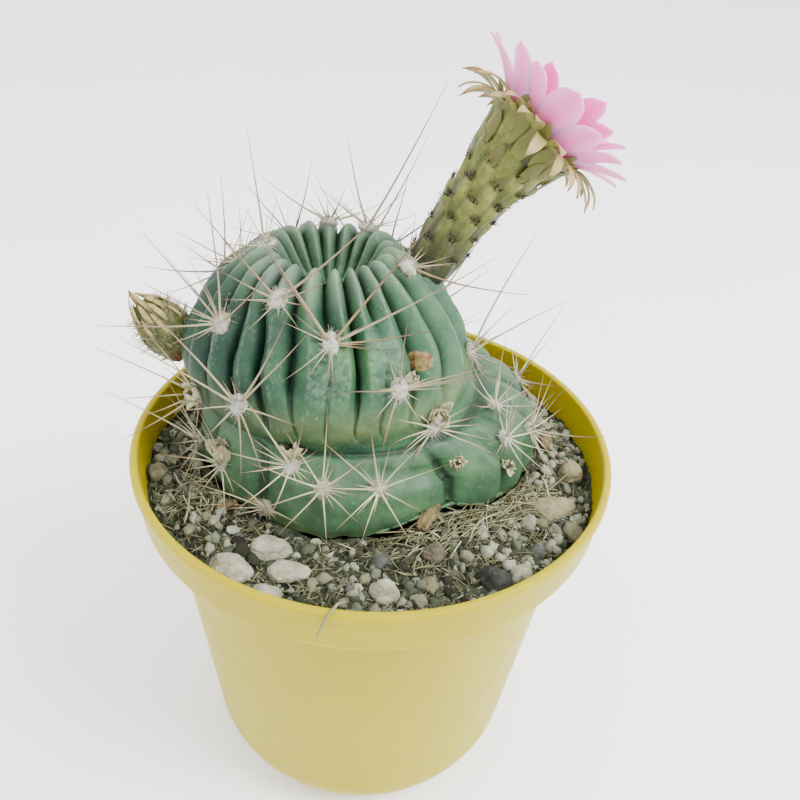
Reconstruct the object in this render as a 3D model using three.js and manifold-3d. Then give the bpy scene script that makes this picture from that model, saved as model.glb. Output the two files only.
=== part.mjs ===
// A potted round cactus: a ribbed globe on an older, wider tier, long-spined areoles, one open
// flower on a scaly tube, one bud, gritty soil and a round plastic nursery pot.
// Millimetres, +Z up. The origin is the centre of the pot's underside, which stands on z = 0.
// The front of the plant, with its two big areoles, faces -Y.
import * as THREE from "three";
import { mergeVertices } from "three/addons/utils/BufferGeometryUtils.js";
import Module from "manifold-3d";

const wasm = await Module();
wasm.setup();

// Driving dimensions
const GAP = 0.3;

const POT_HEIGHT = 105.5;
const RIM_RADIUS = 60;
const RIM_THICKNESS = 1.9;
const COLLAR_HEIGHT = 11.9;
const COLLAR_FOOT_RADIUS = 58.7;
const WALL_TOP_RADIUS = 52.6;
const WALL_THICKNESS = 1.5;
const BASE_ROUNDING = 17.7;
const BASE_RADIUS = 44.9;
const FOOT_RADIUS = 37.5;
const FOOT_HEIGHT = 3.6;
const FLOOR_HEIGHT = 3.2;
const DRAIN_RADIUS = 3.5;
const DRAIN_CIRCLE = 25;
const DRAINS = 6;
const DRAIN_SIDES = 8;
const POT_SIDES = 36;

const SOIL_HEIGHT = 97;
const SOIL_BUMP = 0.9;
const ROOT_HOLE_DEPTH = 12;

// The body is a little narrower from front to back than from side to side
const BODY_OVAL = 0.945;

const RIB_COLUMNS = 4;
const AREOLE_RADIUS = 2.1;
const AREOLE_HEIGHT = 1.5;
const SPINE_SIDES = 3;
const SPINE_CLEARANCE = 0.35;
const PAD_CLEARANCE = 1.2;

// Levels of the plant's body from the middle of its crown down to its root tip:
// height, radius, axis x, axis y, rib depth, tubercle swell
const BODY_LEVELS = [
  [139.0, 0.0, -12.5, 6.5, 0.0, 0.0],
  [144.0, 7.4, -12.5, 6.5, 1.8, 0.0],
  [152.4, 12.4, -12.6, 6.6, 3.8, 0.0],
  [151.4, 17.6, -12.8, 6.7, 4.6, 0.0],
  [147.4, 22.8, -13.0, 6.8, 5.0, 0.0],
  [142.8, 27.4, -13.0, 7.0, 5.4, 0.0],
  [137.5, 31.2, -13.0, 7.0, 5.4, 0.0],
  [132.2, 33.8, -13.0, 7.0, 4.8, 0.0],
  [126.6, 35.2, -13.0, 7.0, 3.2, 0.0],
  [122.2, 35.2, -12.6, 7.0, 1.6, 0.2],
  [118.9, 34.4, -11.4, 7.2, 0.4, 0.2],
  [116.9, 34.2, -8.8, 7.8, 0.0, 0.4],
  [115.2, 38.0, -4.6, 8.9, 0.0, 2.2],
  [110.4, 42.6, -2.4, 9.4, 0.0, 3.0],
  [103.0, 44.2, -2.2, 9.4, 0.0, 2.8],
  [98.2, 43.4, -2.2, 9.4, 0.0, 2.0],
  [95.6, 41.0, -2.2, 9.4, 0.0, 1.0],
  [89.5, 27.0, -2.2, 9.4, 0.0, 0.0],
  [86.4, 0.0, -2.2, 9.4, 0.0, 0.0],
];

// Ribs of the globe's front, as the bearings of each one's crest at the crown, the shoulder and the waist,
// and the level at which the valley after it is gone
const FRONT_RIBS = [
  [-165, -152, -146, 10],
  [-149, -136, -127, 10],
  [-135, -121, -113, 9.6],
  [-119, -108, -100, 8.2],
  [-98, -91, -91, 5.8],
  [-79, -75, -79, 8.4],
  [-64, -67, -70, 5.4],
  [-50, -53, -60, 9],
  [-34, -35, -45, 9.6],
  [-10, -15, -20, 10],
  [8, 5, 0, 10],
];
const REAR_RIBS = 10;
const VALLEY_END = 10;
const VALLEY_FADE = 1.8;
// A crest is a half circle where its roundness is 1, and sharp with hollow sides where it is 0
const ROUND_CREST = 0.6;
const CREST_POWER = 1.3;
const CROWN_LEVEL = 2;
const SHOULDER_LEVEL = 6;
const WAIST_LEVEL = 9;

// Tubercles of the lower tier: at the front, the bearing of each one's middle and the share of its full depth
// that the valley after it has, then evenly round the back
const FRONT_TUBERCLES = [
  [-158, 1],
  [-140, 1],
  [-104, 0.12],
  [-70, 1],
  [-40, 0.8],
  [-28, 0.8],
  [-15, 0.8],
  [0, 1],
];
const REAR_TUBERCLES = 8;

// The tier draws in at its front right, where the soil is heaped against it
const HOLLOW_BEARING = -62;
const HOLLOW_HALF_WIDTH = 22;
const HOLLOW_SPREAD = 1.5;
const HOLLOW_DEPTH = 5.5;
const HOLLOW_LEVEL = 11;

const degrees = Math.PI / 180;
const clamp = (t) => Math.min(1, Math.max(0, t));
const smooth = (t) => t * t * (3 - 2 * t);

// A seeded random source, so that every build draws the same numbers
function seeded(seed) {
  let state = seed >>> 0;
  return () => {
    state = (state + 0x6d2b79f5) >>> 0;
    let mixed = Math.imul(state ^ (state >>> 15), state | 1);
    mixed ^= mixed + Math.imul(mixed ^ (mixed >>> 7), mixed | 61);
    return ((mixed ^ (mixed >>> 14)) >>> 0) / 4294967296;
  };
}

// Solids and meshes
function solidOf(geometry) {
  const bare = geometry.clone();
  bare.deleteAttribute("normal");
  bare.deleteAttribute("uv");
  const merged = mergeVertices(bare, 1e-4);
  return new wasm.Manifold(
    new wasm.Mesh({
      numProp: 3,
      vertProperties: new Float32Array(merged.attributes.position.array),
      triVerts: new Uint32Array(merged.index.array),
    }),
  );
}

function geometryOf(solid) {
  const mesh = solid.getMesh();
  const geometry = new THREE.BufferGeometry();
  geometry.setAttribute("position", new THREE.BufferAttribute(mesh.vertProperties, 3));
  geometry.setIndex(new THREE.BufferAttribute(mesh.triVerts, 1));
  geometry.computeVertexNormals();
  return geometry;
}

function largestPiece(solid) {
  const pieces = solid.decompose();
  return pieces.reduce((best, piece) => (piece.volume() > best.volume() ? piece : best));
}

function joined(solids) {
  return largestPiece(solids.reduce((whole, solid) => whole.add(solid)));
}

// A closed skin over rings of points. The rings run from an end that faces up to one that faces down,
// each one counter-clockwise seen from above.
function skinGeometry(rings, firstEnd, lastEnd) {
  const count = rings[0].length;
  const points = [firstEnd, ...rings.flat(), lastEnd];
  const faces = [];
  const at = (ring, column) => 1 + ring * count + (column % count);
  for (let column = 0; column < count; column++) {
    faces.push(0, at(0, column), at(0, column + 1));
    for (let ring = 0; ring + 1 < rings.length; ring++) {
      const upper = at(ring, column);
      const upperNext = at(ring, column + 1);
      const lower = at(ring + 1, column);
      const lowerNext = at(ring + 1, column + 1);
      faces.push(upper, lower, lowerNext);
      faces.push(upper, lowerNext, upperNext);
    }
    faces.push(points.length - 1, at(rings.length - 1, column + 1), at(rings.length - 1, column));
  }
  const geometry = new THREE.BufferGeometry().setFromPoints(points);
  geometry.setIndex(faces);
  geometry.computeVertexNormals();
  return geometry;
}

function middle(points) {
  const sum = new THREE.Vector3();
  points.forEach((point) => sum.add(point));
  return sum.divideScalar(points.length);
}

// The plant's body, as a surface over a level (from 0 at the crown) and a bearing in degrees
function bodyLevel(level) {
  const last = BODY_LEVELS.length - 1;
  const index = Math.min(Math.floor(level), last - 1);
  const t = level - index;
  const before = BODY_LEVELS[Math.max(index - 1, 0)];
  const start = BODY_LEVELS[index];
  const end = BODY_LEVELS[index + 1];
  const after = BODY_LEVELS[Math.min(index + 2, last)];
  return start.map((value, k) => {
    const slopeIn = (end[k] - before[k]) / 2;
    const slopeOut = (after[k] - value) / 2;
    const cubic = 2 * value - 2 * end[k] + slopeIn + slopeOut;
    const square = 3 * end[k] - 3 * value - 2 * slopeIn - slopeOut;
    return ((cubic * t + square) * t + slopeIn) * t + value;
  });
}

// All rib crests round the globe, at the three named levels
const ribs = [...FRONT_RIBS];
const rearSpan = FRONT_RIBS[0][1] + 360 - FRONT_RIBS[FRONT_RIBS.length - 1][1];
const ribWander = seeded(7);
for (let rib = 1; rib <= REAR_RIBS; rib++) {
  const bearing = FRONT_RIBS[FRONT_RIBS.length - 1][1] + (rearSpan * rib) / (REAR_RIBS + 1);
  const crown = bearing + (ribWander() - 0.5) * 5;
  const waist = bearing + (ribWander() - 0.5) * 5;
  ribs.push([crown, bearing, waist, VALLEY_END]);
}

const tubercles = [...FRONT_TUBERCLES];
const lastFrontTubercle = FRONT_TUBERCLES[FRONT_TUBERCLES.length - 1][0];
const tubercleSpan = FRONT_TUBERCLES[0][0] + 360 - lastFrontTubercle;
for (let tubercle = 1; tubercle <= REAR_TUBERCLES; tubercle++) {
  tubercles.push([lastFrontTubercle + (tubercleSpan * tubercle) / (REAR_TUBERCLES + 1), 1]);
}

function crestBearing(rib, level) {
  const turns = Math.floor(rib / ribs.length);
  const [crown, shoulder, waist] = ribs[rib - turns * ribs.length];
  let bearing;
  if (level <= SHOULDER_LEVEL) {
    const t = Math.max(0, (level - CROWN_LEVEL) / (SHOULDER_LEVEL - CROWN_LEVEL));
    bearing = crown + (shoulder - crown) * smooth(t);
  } else {
    const t = Math.min(1, (level - SHOULDER_LEVEL) / (WAIST_LEVEL - SHOULDER_LEVEL));
    bearing = shoulder + (waist - shoulder) * smooth(t);
  }
  return bearing + 360 * turns;
}

// The bearing of a place across a rib: 0 on the crest, -1 and 1 in the valleys beside it
function bearingAcross(rib, across, level) {
  const crest = crestBearing(rib, level);
  const next = crestBearing(rib + (across < 0 ? -1 : 1), level);
  return crest + ((next - crest) / 2) * Math.abs(across);
}

// How far across its rib a bearing lies, and how much of the valley beside it is left
function acrossRib(bearing, level) {
  let rib = 0;
  let turned = bearing;
  while (turned < crestBearing(0, level)) turned += 360;
  while (turned >= crestBearing(0, level) + 360) turned -= 360;
  while (crestBearing(rib + 1, level) <= turned) rib += 1;
  const start = crestBearing(rib, level);
  const share = (turned - start) / (crestBearing(rib + 1, level) - start);
  const across = share < 0.5 ? share * 2 : (share - 1) * 2;
  const left = 1 - smooth(clamp((level - ribs[rib][3] + VALLEY_FADE) / VALLEY_FADE));
  return [across, left];
}

function groove(across) {
  const aside = Math.abs(across);
  const rounded = 1 - Math.sqrt(Math.max(0, 1 - aside * aside));
  return ROUND_CREST * rounded + (1 - ROUND_CREST) * Math.pow(aside, CREST_POWER);
}

// How deep a bearing lies between two tubercles: 0 on a middle, and the valley's own share half-way
function tubercleGroove(bearing) {
  let deep = 0;
  for (let i = 0; i < tubercles.length; i++) {
    const [start, depth] = tubercles[i];
    const end = i + 1 < tubercles.length ? tubercles[i + 1][0] : tubercles[0][0] + 360;
    let turned = bearing;
    while (turned < start) turned += 360;
    while (turned >= start + 360) turned -= 360;
    if (turned < end) {
      const share = (turned - start) / (end - start);
      deep = depth * groove(share < 0.5 ? share * 2 : (1 - share) * 2);
    }
  }
  return deep;
}

function bodyPoint(bearing, level, outward = 0) {
  const [height, radius, axisX, axisY, ribDepth, swell] = bodyLevel(level);
  const step = 0.05;
  const above = bodyLevel(Math.max(level - step, 0));
  const below = bodyLevel(Math.min(level + step, BODY_LEVELS.length - 1));
  const run = below[1] - above[1];
  const drop = above[0] - below[0];
  const slope = Math.hypot(run, drop);
  const hollowShare = (bearing - HOLLOW_BEARING) / HOLLOW_HALF_WIDTH;
  const hollowFade = smooth(clamp((level - HOLLOW_LEVEL) / HOLLOW_SPREAD));
  const hollow = HOLLOW_DEPTH * Math.exp(-hollowShare * hollowShare) * hollowFade;
  const [across, valley] = acrossRib(bearing, level);
  const grooves = swell * tubercleGroove(bearing) + ribDepth * valley * groove(across);
  const relief = outward - hollow - grooves;
  const reach = radius + relief * (drop / slope);
  const angle = bearing * degrees;
  return new THREE.Vector3(
    axisX + reach * Math.cos(angle),
    axisY + reach * Math.sin(angle) * BODY_OVAL,
    height + relief * (run / slope),
  );
}

// The level of a height on the outside of the body, below the crown's edge
function levelAt(height) {
  let above = CROWN_LEVEL;
  let below = BODY_LEVELS.length - 1;
  for (let halving = 0; halving < 30; halving++) {
    const half = (above + below) / 2;
    if (bodyLevel(half)[0] > height) above = half;
    else below = half;
  }
  return above;
}

function bodyNormal(bearing, level) {
  const along = bodyPoint(bearing, level + 0.1).sub(bodyPoint(bearing, level - 0.1));
  const round = bodyPoint(bearing + 2.5, level).sub(bodyPoint(bearing - 2.5, level));
  return along.cross(round).normalize();
}

// The direction outward from the body with its ribs smoothed away
function smoothNormal(bearing, level) {
  const [aboveHeight, aboveRadius] = bodyLevel(level - 0.3);
  const [belowHeight, belowRadius] = bodyLevel(level + 0.3);
  const drop = aboveHeight - belowHeight;
  const run = belowRadius - aboveRadius;
  const angle = bearing * degrees;
  return new THREE.Vector3(drop * Math.cos(angle), drop * Math.sin(angle), run).normalize();
}

function nearestCrest(bearing, level) {
  const onGlobe = level < WAIST_LEVEL + 1.5;
  const crests = onGlobe ? ribs.map((_, rib) => crestBearing(rib, level)) : tubercles.map(([middle]) => middle);
  const apart = (crest) => Math.abs(((crest - bearing + 540) % 360) - 180);
  return crests.reduce((best, crest) => (apart(crest) < apart(best) ? crest : best));
}

function bodyRings(grow) {
  const rings = [];
  for (let level = 1; level < BODY_LEVELS.length - 1; level++) {
    const ring = [];
    for (let rib = 0; rib < ribs.length; rib++) {
      for (let column = 0; column < RIB_COLUMNS; column++) {
        const across = (2 * column) / RIB_COLUMNS - 1;
        const eased = Math.sign(across) * Math.pow(Math.abs(across), 0.75);
        const bearing = bearingAcross(rib, eased, level);
        const point = bodyPoint(bearing, level);
        if (grow > 0) point.addScaledVector(bodyNormal(bearing, level), grow);
        ring.push(point);
      }
    }
    rings.push(ring);
  }
  return rings;
}

function bodySolid(grow) {
  const top = bodyPoint(0, 0);
  const tip = bodyPoint(0, BODY_LEVELS.length - 1);
  top.z += grow;
  tip.z -= grow;
  return solidOf(skinGeometry(bodyRings(grow), top, tip));
}

// The pot: a lathed wall with a collar and a rolled rim, and drain holes in its floor
const collarFoot = POT_HEIGHT - COLLAR_HEIGHT;
const innerCollarFoot = collarFoot + 2.4;
const innerCollarRadius = COLLAR_FOOT_RADIUS - 1.7;
const innerRimRadius = RIM_RADIUS - RIM_THICKNESS;

function potOuterRadius(height) {
  const centre = BASE_RADIUS - BASE_ROUNDING;
  if (height < BASE_ROUNDING) {
    const drop = BASE_ROUNDING - height;
    return centre + Math.sqrt(BASE_ROUNDING * BASE_ROUNDING - drop * drop);
  }
  const share = (height - BASE_ROUNDING) / (collarFoot - BASE_ROUNDING);
  return BASE_RADIUS + (WALL_TOP_RADIUS - BASE_RADIUS) * share;
}

function potGeometry() {
  const outline = [
    [0, 0],
    [FOOT_RADIUS, 0],
    [FOOT_RADIUS + 0.4, FOOT_HEIGHT],
    [potOuterRadius(7), 7],
    [potOuterRadius(11.5), 11.5],
    [BASE_RADIUS, BASE_ROUNDING],
    [WALL_TOP_RADIUS, collarFoot],
    [COLLAR_FOOT_RADIUS, collarFoot],
    [RIM_RADIUS - 0.7, POT_HEIGHT - 2.6],
    [RIM_RADIUS, POT_HEIGHT - 2.0],
    [RIM_RADIUS, POT_HEIGHT - 0.5],
    [RIM_RADIUS - 0.5, POT_HEIGHT],
    [innerRimRadius, POT_HEIGHT],
    [innerCollarRadius, innerCollarFoot],
    [WALL_TOP_RADIUS - WALL_THICKNESS, collarFoot - 0.6],
    [BASE_RADIUS - WALL_THICKNESS, BASE_ROUNDING],
    [potOuterRadius(9) - WALL_THICKNESS - 0.6, 9],
    [FOOT_RADIUS - 2.0, FLOOR_HEIGHT],
    [0, FLOOR_HEIGHT],
  ];
  const profile = outline.map(([radius, height]) => new THREE.Vector2(radius, height));
  const lathe = new THREE.LatheGeometry(profile, POT_SIDES);
  lathe.rotateX(Math.PI / 2);
  let pot = solidOf(lathe);
  for (let drain = 0; drain < DRAINS; drain++) {
    const angle = (drain + 0.5) * ((2 * Math.PI) / DRAINS);
    const hole = new THREE.CylinderGeometry(DRAIN_RADIUS, DRAIN_RADIUS, 3 * FLOOR_HEIGHT, DRAIN_SIDES);
    hole.rotateX(Math.PI / 2);
    hole.translate(DRAIN_CIRCLE * Math.cos(angle), DRAIN_CIRCLE * Math.sin(angle), FLOOR_HEIGHT / 2);
    pot = pot.subtract(solidOf(hole));
  }
  return geometryOf(pot);
}

// Soil that fills the pot, with a lumpy top, a plain hole for the plant and a socket for each stone
function soilHeight(x, y) {
  const swells = Math.sin(x * 0.21 + 1.3) * Math.cos(y * 0.17) + 0.6 * Math.sin(x * 0.41 - y * 0.33);
  const nearWall = Math.max(0, Math.hypot(x, y) - 50) / 8;
  return SOIL_HEIGHT + SOIL_BUMP * swells * 0.6 - nearWall * 1.2;
}

const STONES = [
  // name, x, y, half length, half width, half height, turn in degrees, seed
  ["stone_white_oval", -20.9, -35.6, 4.8, 3.3, 2.4, 10, 11],
  ["stone_white_flat", -28.2, -42.6, 5.6, 3.6, 2.4, -18, 12],
  ["stone_white_right", -15.6, -42.6, 4.1, 3.1, 2.5, 5, 13],
  ["stone_white_front", -19.6, -49.2, 3.6, 2.9, 2.2, 30, 14],
  ["stone_white_tall", 5.7, -46.4, 2.9, 3.2, 3.0, 70, 15],
  ["stone_heart", 51.4, -1.4, 3.0, 3.6, 2.8, 80, 16],
  ["stone_tan_large", 45.0, -16.2, 5.0, 4.0, 3.0, 15, 17],
  ["stone_black", 30.0, -40.4, 3.7, 3.5, 2.8, 40, 18],
  ["stone_round", 16.1, -33.6, 2.6, 2.6, 2.4, 0, 19],
];
const STONE_SINK = 0.25;

function stoneGeometry([, x, y, halfLength, halfWidth, halfHeight, turn, seed], grow = 0) {
  const random = seeded(seed);
  const waves = [random() * 6, random() * 6, random() * 6];
  const halfSize = new THREE.Vector3(halfLength + grow, halfWidth + grow, halfHeight + grow);
  const stone = new THREE.IcosahedronGeometry(1, 1);
  const places = stone.attributes.position;
  for (let i = 0; i < places.count; i++) {
    const p = new THREE.Vector3().fromBufferAttribute(places, i);
    const wave = (amount, along, phase) => amount * Math.sin(3.6 * along + phase);
    const lump = 1 + wave(0.1, p.x, waves[0]) + wave(0.08, p.y, waves[1]) + wave(0.07, p.z, waves[2]);
    p.multiplyScalar(lump).multiply(halfSize);
    places.setXYZ(i, p.x, p.y, p.z);
  }
  stone.rotateZ(turn * degrees);
  stone.translate(x, y, SOIL_HEIGHT + halfHeight * STONE_SINK);
  return stone;
}

function soilSolid() {
  const columns = POT_SIDES;
  const footLevel = levelAt(SOIL_HEIGHT);
  const rings = { hole: [], lip: [], top: [[], []], wall: [[], [], [], [], []] };
  const wallOutline = [
    [innerRimRadius - 1.0, null],
    [innerCollarRadius - GAP - 0.1, innerCollarFoot + 0.2],
    [WALL_TOP_RADIUS - WALL_THICKNESS - GAP, collarFoot - 0.8],
    [BASE_RADIUS - WALL_THICKNESS - GAP, BASE_ROUNDING],
    [FOOT_RADIUS - 3.4, FLOOR_HEIGHT + GAP + 0.1],
  ];
  for (let column = 0; column < columns; column++) {
    const bearing = (360 * column) / columns;
    const direction = new THREE.Vector3(Math.cos(bearing * degrees), Math.sin(bearing * degrees), 0);
    const [, , axisX, axisY] = bodyLevel(footLevel);
    let reach = 0;
    for (let level = footLevel - 1.2; level < footLevel + 1.5; level += 0.1) {
      const point = bodyPoint(bearing, level);
      if (point.z < SOIL_HEIGHT + 1.6) reach = Math.max(reach, Math.hypot(point.x - axisX, point.y - axisY));
    }
    const inner = new THREE.Vector3(axisX, axisY, 0).addScaledVector(direction, reach + GAP + 0.35);
    const outer = direction.clone().multiplyScalar(wallOutline[0][0]);
    rings.hole.push(new THREE.Vector3(inner.x, inner.y, SOIL_HEIGHT - ROOT_HOLE_DEPTH));
    rings.lip.push(new THREE.Vector3(inner.x, inner.y, soilHeight(inner.x, inner.y)));
    rings.top.forEach((ring, i) => {
      const point = inner.clone().lerp(outer, (i + 1) / (rings.top.length + 1));
      ring.push(new THREE.Vector3(point.x, point.y, soilHeight(point.x, point.y)));
    });
    rings.wall.forEach((ring, i) => {
      const [radius, height] = wallOutline[i];
      const place = direction.clone().multiplyScalar(radius);
      ring.push(new THREE.Vector3(place.x, place.y, height ?? soilHeight(place.x, place.y)));
    });
  }
  const all = [rings.hole, rings.lip, ...rings.top, ...rings.wall];
  const floor = middle(rings.hole);
  const bottom = middle(rings.wall[rings.wall.length - 1]);
  let soil = solidOf(skinGeometry(all, floor, bottom));
  STONES.forEach((stone) => {
    soil = soil.subtract(solidOf(stoneGeometry(stone, GAP + 0.1)));
  });
  return largestPiece(soil);
}

// The flower's axis, and the frame that its tube and petals are built in
const TUBE_FOOT = new THREE.Vector3(8.4, 12.0, 141.5);
const TUBE_START = new THREE.Vector3(0.4, 0.2, 0.9).normalize();
const THROAT = new THREE.Vector3(30.1, 21.0, 174.6);
const THROAT_DIRECTION = new THREE.Vector3(0.67, 0.2, 0.71).normalize();
const TUBE_SIDES = 16;
const TUBE_SCALES = 10;
const GOLDEN_ANGLE = 137.5;
// Tube radius at each share of its length
const TUBE_RADII = [
  [0, 5.2],
  [0.15, 6.0],
  [0.4, 6.3],
  [0.65, 7.2],
  [0.88, 9.4],
  [1, 10.6],
];

// The bud's axis and size
const BUD_FOOT = new THREE.Vector3(-46.5, 4.5, 122.0);
const BUD_DIRECTION = new THREE.Vector3(-0.72, 0.18, 0.68).normalize();
const BUD_LENGTH = 18;
const BUD_RADIUS = 6.6;

// A frame whose Z runs along the direction
function frameAlong(foot, direction, turn = 0) {
  const side = new THREE.Vector3(0, 0, 1).cross(direction).normalize();
  const up = direction.clone().cross(side);
  const frame = new THREE.Matrix4().makeBasis(side, up, direction);
  frame.multiply(new THREE.Matrix4().makeRotationZ(turn * degrees));
  frame.setPosition(foot);
  return frame;
}

// A tapered, curved blade in the frame of its whorl. Its path leaves a ring of the given radius and
// height at the starting angle from the axis and bends to the ending angle.
function bladeSolid({ turn, radius, height, length, width, thickness, startAngle, endAngle, cup, steps }) {
  const rings = [];
  let reach = radius;
  let rise = height;
  for (let step = 0; step <= steps; step++) {
    const t = step / steps;
    const angle = (startAngle + (endAngle - startAngle) * t) * degrees;
    if (step > 0) {
      const before = (startAngle + (endAngle - startAngle) * (t - 0.5 / steps)) * degrees;
      reach += (length / steps) * Math.sin(before);
      rise += (length / steps) * Math.cos(before);
    }
    if (step === steps) break;
    const half = (width / 2) * (0.45 + 0.55 * Math.sin(Math.PI * Math.min(1, 0.25 + t * 0.7)));
    const thick = (thickness / 2) * (1 - 0.25 * t);
    const outward = new THREE.Vector3(Math.cos(angle), 0, -Math.sin(angle));
    const centre = new THREE.Vector3(reach, 0, rise);
    const edge = centre.clone().addScaledVector(outward, -cup * half * (0.3 + 0.7 * t));
    rings.push([
      centre.clone().addScaledVector(outward, thick),
      edge.clone().add(new THREE.Vector3(0, half, 0)),
      centre.clone().addScaledVector(outward, -thick),
      edge.clone().add(new THREE.Vector3(0, -half, 0)),
    ]);
  }
  const tip = new THREE.Vector3(reach, 0, rise);
  rings.reverse();
  const blade = skinGeometry(rings, tip, middle(rings[rings.length - 1]));
  blade.rotateZ(turn * degrees);
  return solidOf(blade);
}

function ringSolid(innerRadius, outerRadius, low, high, sides) {
  const profile = [
    new THREE.Vector2(innerRadius, low),
    new THREE.Vector2(outerRadius, low),
    new THREE.Vector2(outerRadius, high),
    new THREE.Vector2(innerRadius, high),
    new THREE.Vector2(innerRadius, low),
  ];
  const ring = new THREE.LatheGeometry(profile, sides);
  ring.rotateX(Math.PI / 2);
  return solidOf(ring);
}

function placed(solid, frame) {
  return geometryOf(solid).applyMatrix4(frame);
}

function tubeRadius(share) {
  let i = 0;
  while (i + 2 < TUBE_RADII.length && TUBE_RADII[i + 1][0] < share) i += 1;
  const [from, start] = TUBE_RADII[i];
  const [to, end] = TUBE_RADII[i + 1];
  return start + (end - start) * smooth(clamp((share - from) / (to - from)));
}

const tubeReach = THROAT.distanceTo(TUBE_FOOT) / 3;
const tubeAxis = new THREE.CubicBezierCurve3(
  TUBE_FOOT,
  TUBE_FOOT.clone().addScaledVector(TUBE_START, tubeReach),
  THROAT.clone().addScaledVector(THROAT_DIRECTION, -tubeReach),
  THROAT,
);

function tubeFrame(share) {
  return frameAlong(tubeAxis.getPoint(share), tubeAxis.getTangent(share));
}

function flowerTube(bodyGrown) {
  const shares = [1, 0.88, 0.7, 0.5, 0.3, 0.12, 0];
  const rings = shares.map((share) => {
    const ring = [];
    for (let side = 0; side < TUBE_SIDES; side++) {
      const angle = (2 * Math.PI * side) / TUBE_SIDES;
      const ridge = side % 2 === 0 ? 0.35 : -0.35;
      const radius = tubeRadius(share) + ridge * Math.min(1, share * 3);
      const point = new THREE.Vector3(radius * Math.cos(angle), radius * Math.sin(angle), 0);
      ring.push(point.applyMatrix4(tubeFrame(share)));
    }
    return ring;
  });
  const pieces = [solidOf(skinGeometry(rings, THROAT, TUBE_FOOT))];
  for (let scale = 0; scale < TUBE_SCALES; scale++) {
    const share = 0.14 + (0.76 * scale) / TUBE_SCALES;
    const blade = bladeSolid({
      turn: scale * GOLDEN_ANGLE,
      radius: tubeRadius(share) - 0.5,
      height: 0,
      length: 3.5 + 4 * share,
      width: 2.4,
      thickness: 1.0,
      startAngle: 24,
      endAngle: 2,
      cup: 0.1,
      steps: 2,
    });
    pieces.push(solidOf(placed(blade, tubeFrame(share))));
  }
  return largestPiece(joined(pieces).subtract(bodyGrown));
}

const SEPAL_BASE = GAP;
const PETAL_BASE = SEPAL_BASE + 1.3 + GAP;
const INNER_BASE = PETAL_BASE + 1.3 + GAP;

function whorl({ count, seed, ring, blade, spread }) {
  const random = seeded(seed);
  const pieces = [ringSolid(ring[0], ring[1], ring[2], ring[3], 18)];
  for (let i = 0; i < count; i++) {
    const lengthShare = 1 + (random() - 0.5) * 0.22;
    const lean = (random() - 0.5) * spread;
    pieces.push(
      bladeSolid({
        ...blade,
        turn: (360 * (i + 0.25 * random())) / count,
        length: blade.length * lengthShare,
        startAngle: blade.startAngle,
        endAngle: blade.endAngle + lean,
      }),
    );
  }
  return joined(pieces);
}

const sepalWhorl = {
  count: 11,
  seed: 31,
  ring: [6.2, 10.4, SEPAL_BASE, SEPAL_BASE + 1.3],
  spread: 30,
  blade: {
    radius: 9.4,
    height: SEPAL_BASE + 0.6,
    length: 14,
    width: 3.0,
    thickness: 0.8,
    startAngle: 50,
    endAngle: 150,
    cup: 0.15,
    steps: 3,
  },
};

const outerPetalWhorl = {
  count: 10,
  seed: 37,
  ring: [6.2, 9.6, PETAL_BASE, PETAL_BASE + 1.3],
  spread: 10,
  blade: {
    radius: 8.8,
    height: PETAL_BASE + 0.6,
    length: 16.5,
    width: 8.2,
    thickness: 0.7,
    startAngle: 50,
    endAngle: 68,
    cup: 0.22,
    steps: 3,
  },
};

const innerPetalWhorl = {
  count: 8,
  seed: 41,
  ring: [6.2, 8.6, INNER_BASE, INNER_BASE + 1.2],
  spread: 8,
  blade: {
    radius: 7.8,
    height: INNER_BASE + 0.6,
    length: 13,
    width: 7.2,
    thickness: 0.7,
    startAngle: 34,
    endAngle: 48,
    cup: 0.25,
    steps: 3,
  },
};

function needle(from, to, radius) {
  const length = from.distanceTo(to);
  const cone = new THREE.ConeGeometry(radius, length, SPINE_SIDES);
  cone.rotateX(Math.PI / 2);
  cone.translate(0, 0, length / 2);
  cone.applyMatrix4(frameAlong(from, to.clone().sub(from).normalize()));
  return solidOf(cone);
}

function stamens() {
  const pieces = [ringSolid(1.6, 5.8, SEPAL_BASE, SEPAL_BASE + 2.5, 14)];
  const count = 14;
  for (let i = 0; i < count; i++) {
    const angle = i * GOLDEN_ANGLE * degrees;
    const foot = 2.4 + 2.8 * Math.sqrt((i + 0.5) / count);
    const head = foot + 0.8;
    const rise = SEPAL_BASE + 9 + (i % 4);
    const base = new THREE.Vector3(foot * Math.cos(angle), foot * Math.sin(angle), SEPAL_BASE + 1.2);
    const top = new THREE.Vector3(head * Math.cos(angle), head * Math.sin(angle), rise);
    pieces.push(needle(base, top, 0.5));
  }
  return joined(pieces);
}

function pistil() {
  const style = new THREE.CylinderGeometry(0.7, 0.9, 12, 6);
  style.rotateX(Math.PI / 2);
  style.translate(0, 0, SEPAL_BASE + 6);
  const pieces = [solidOf(style)];
  for (let lobe = 0; lobe < 6; lobe++) {
    const angle = lobe * 60 * degrees;
    const base = new THREE.Vector3(0, 0, SEPAL_BASE + 11.2);
    const top = new THREE.Vector3(1.6 * Math.cos(angle), 1.6 * Math.sin(angle), SEPAL_BASE + 14.5);
    pieces.push(needle(base, top, 0.6));
  }
  return joined(pieces);
}

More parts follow.
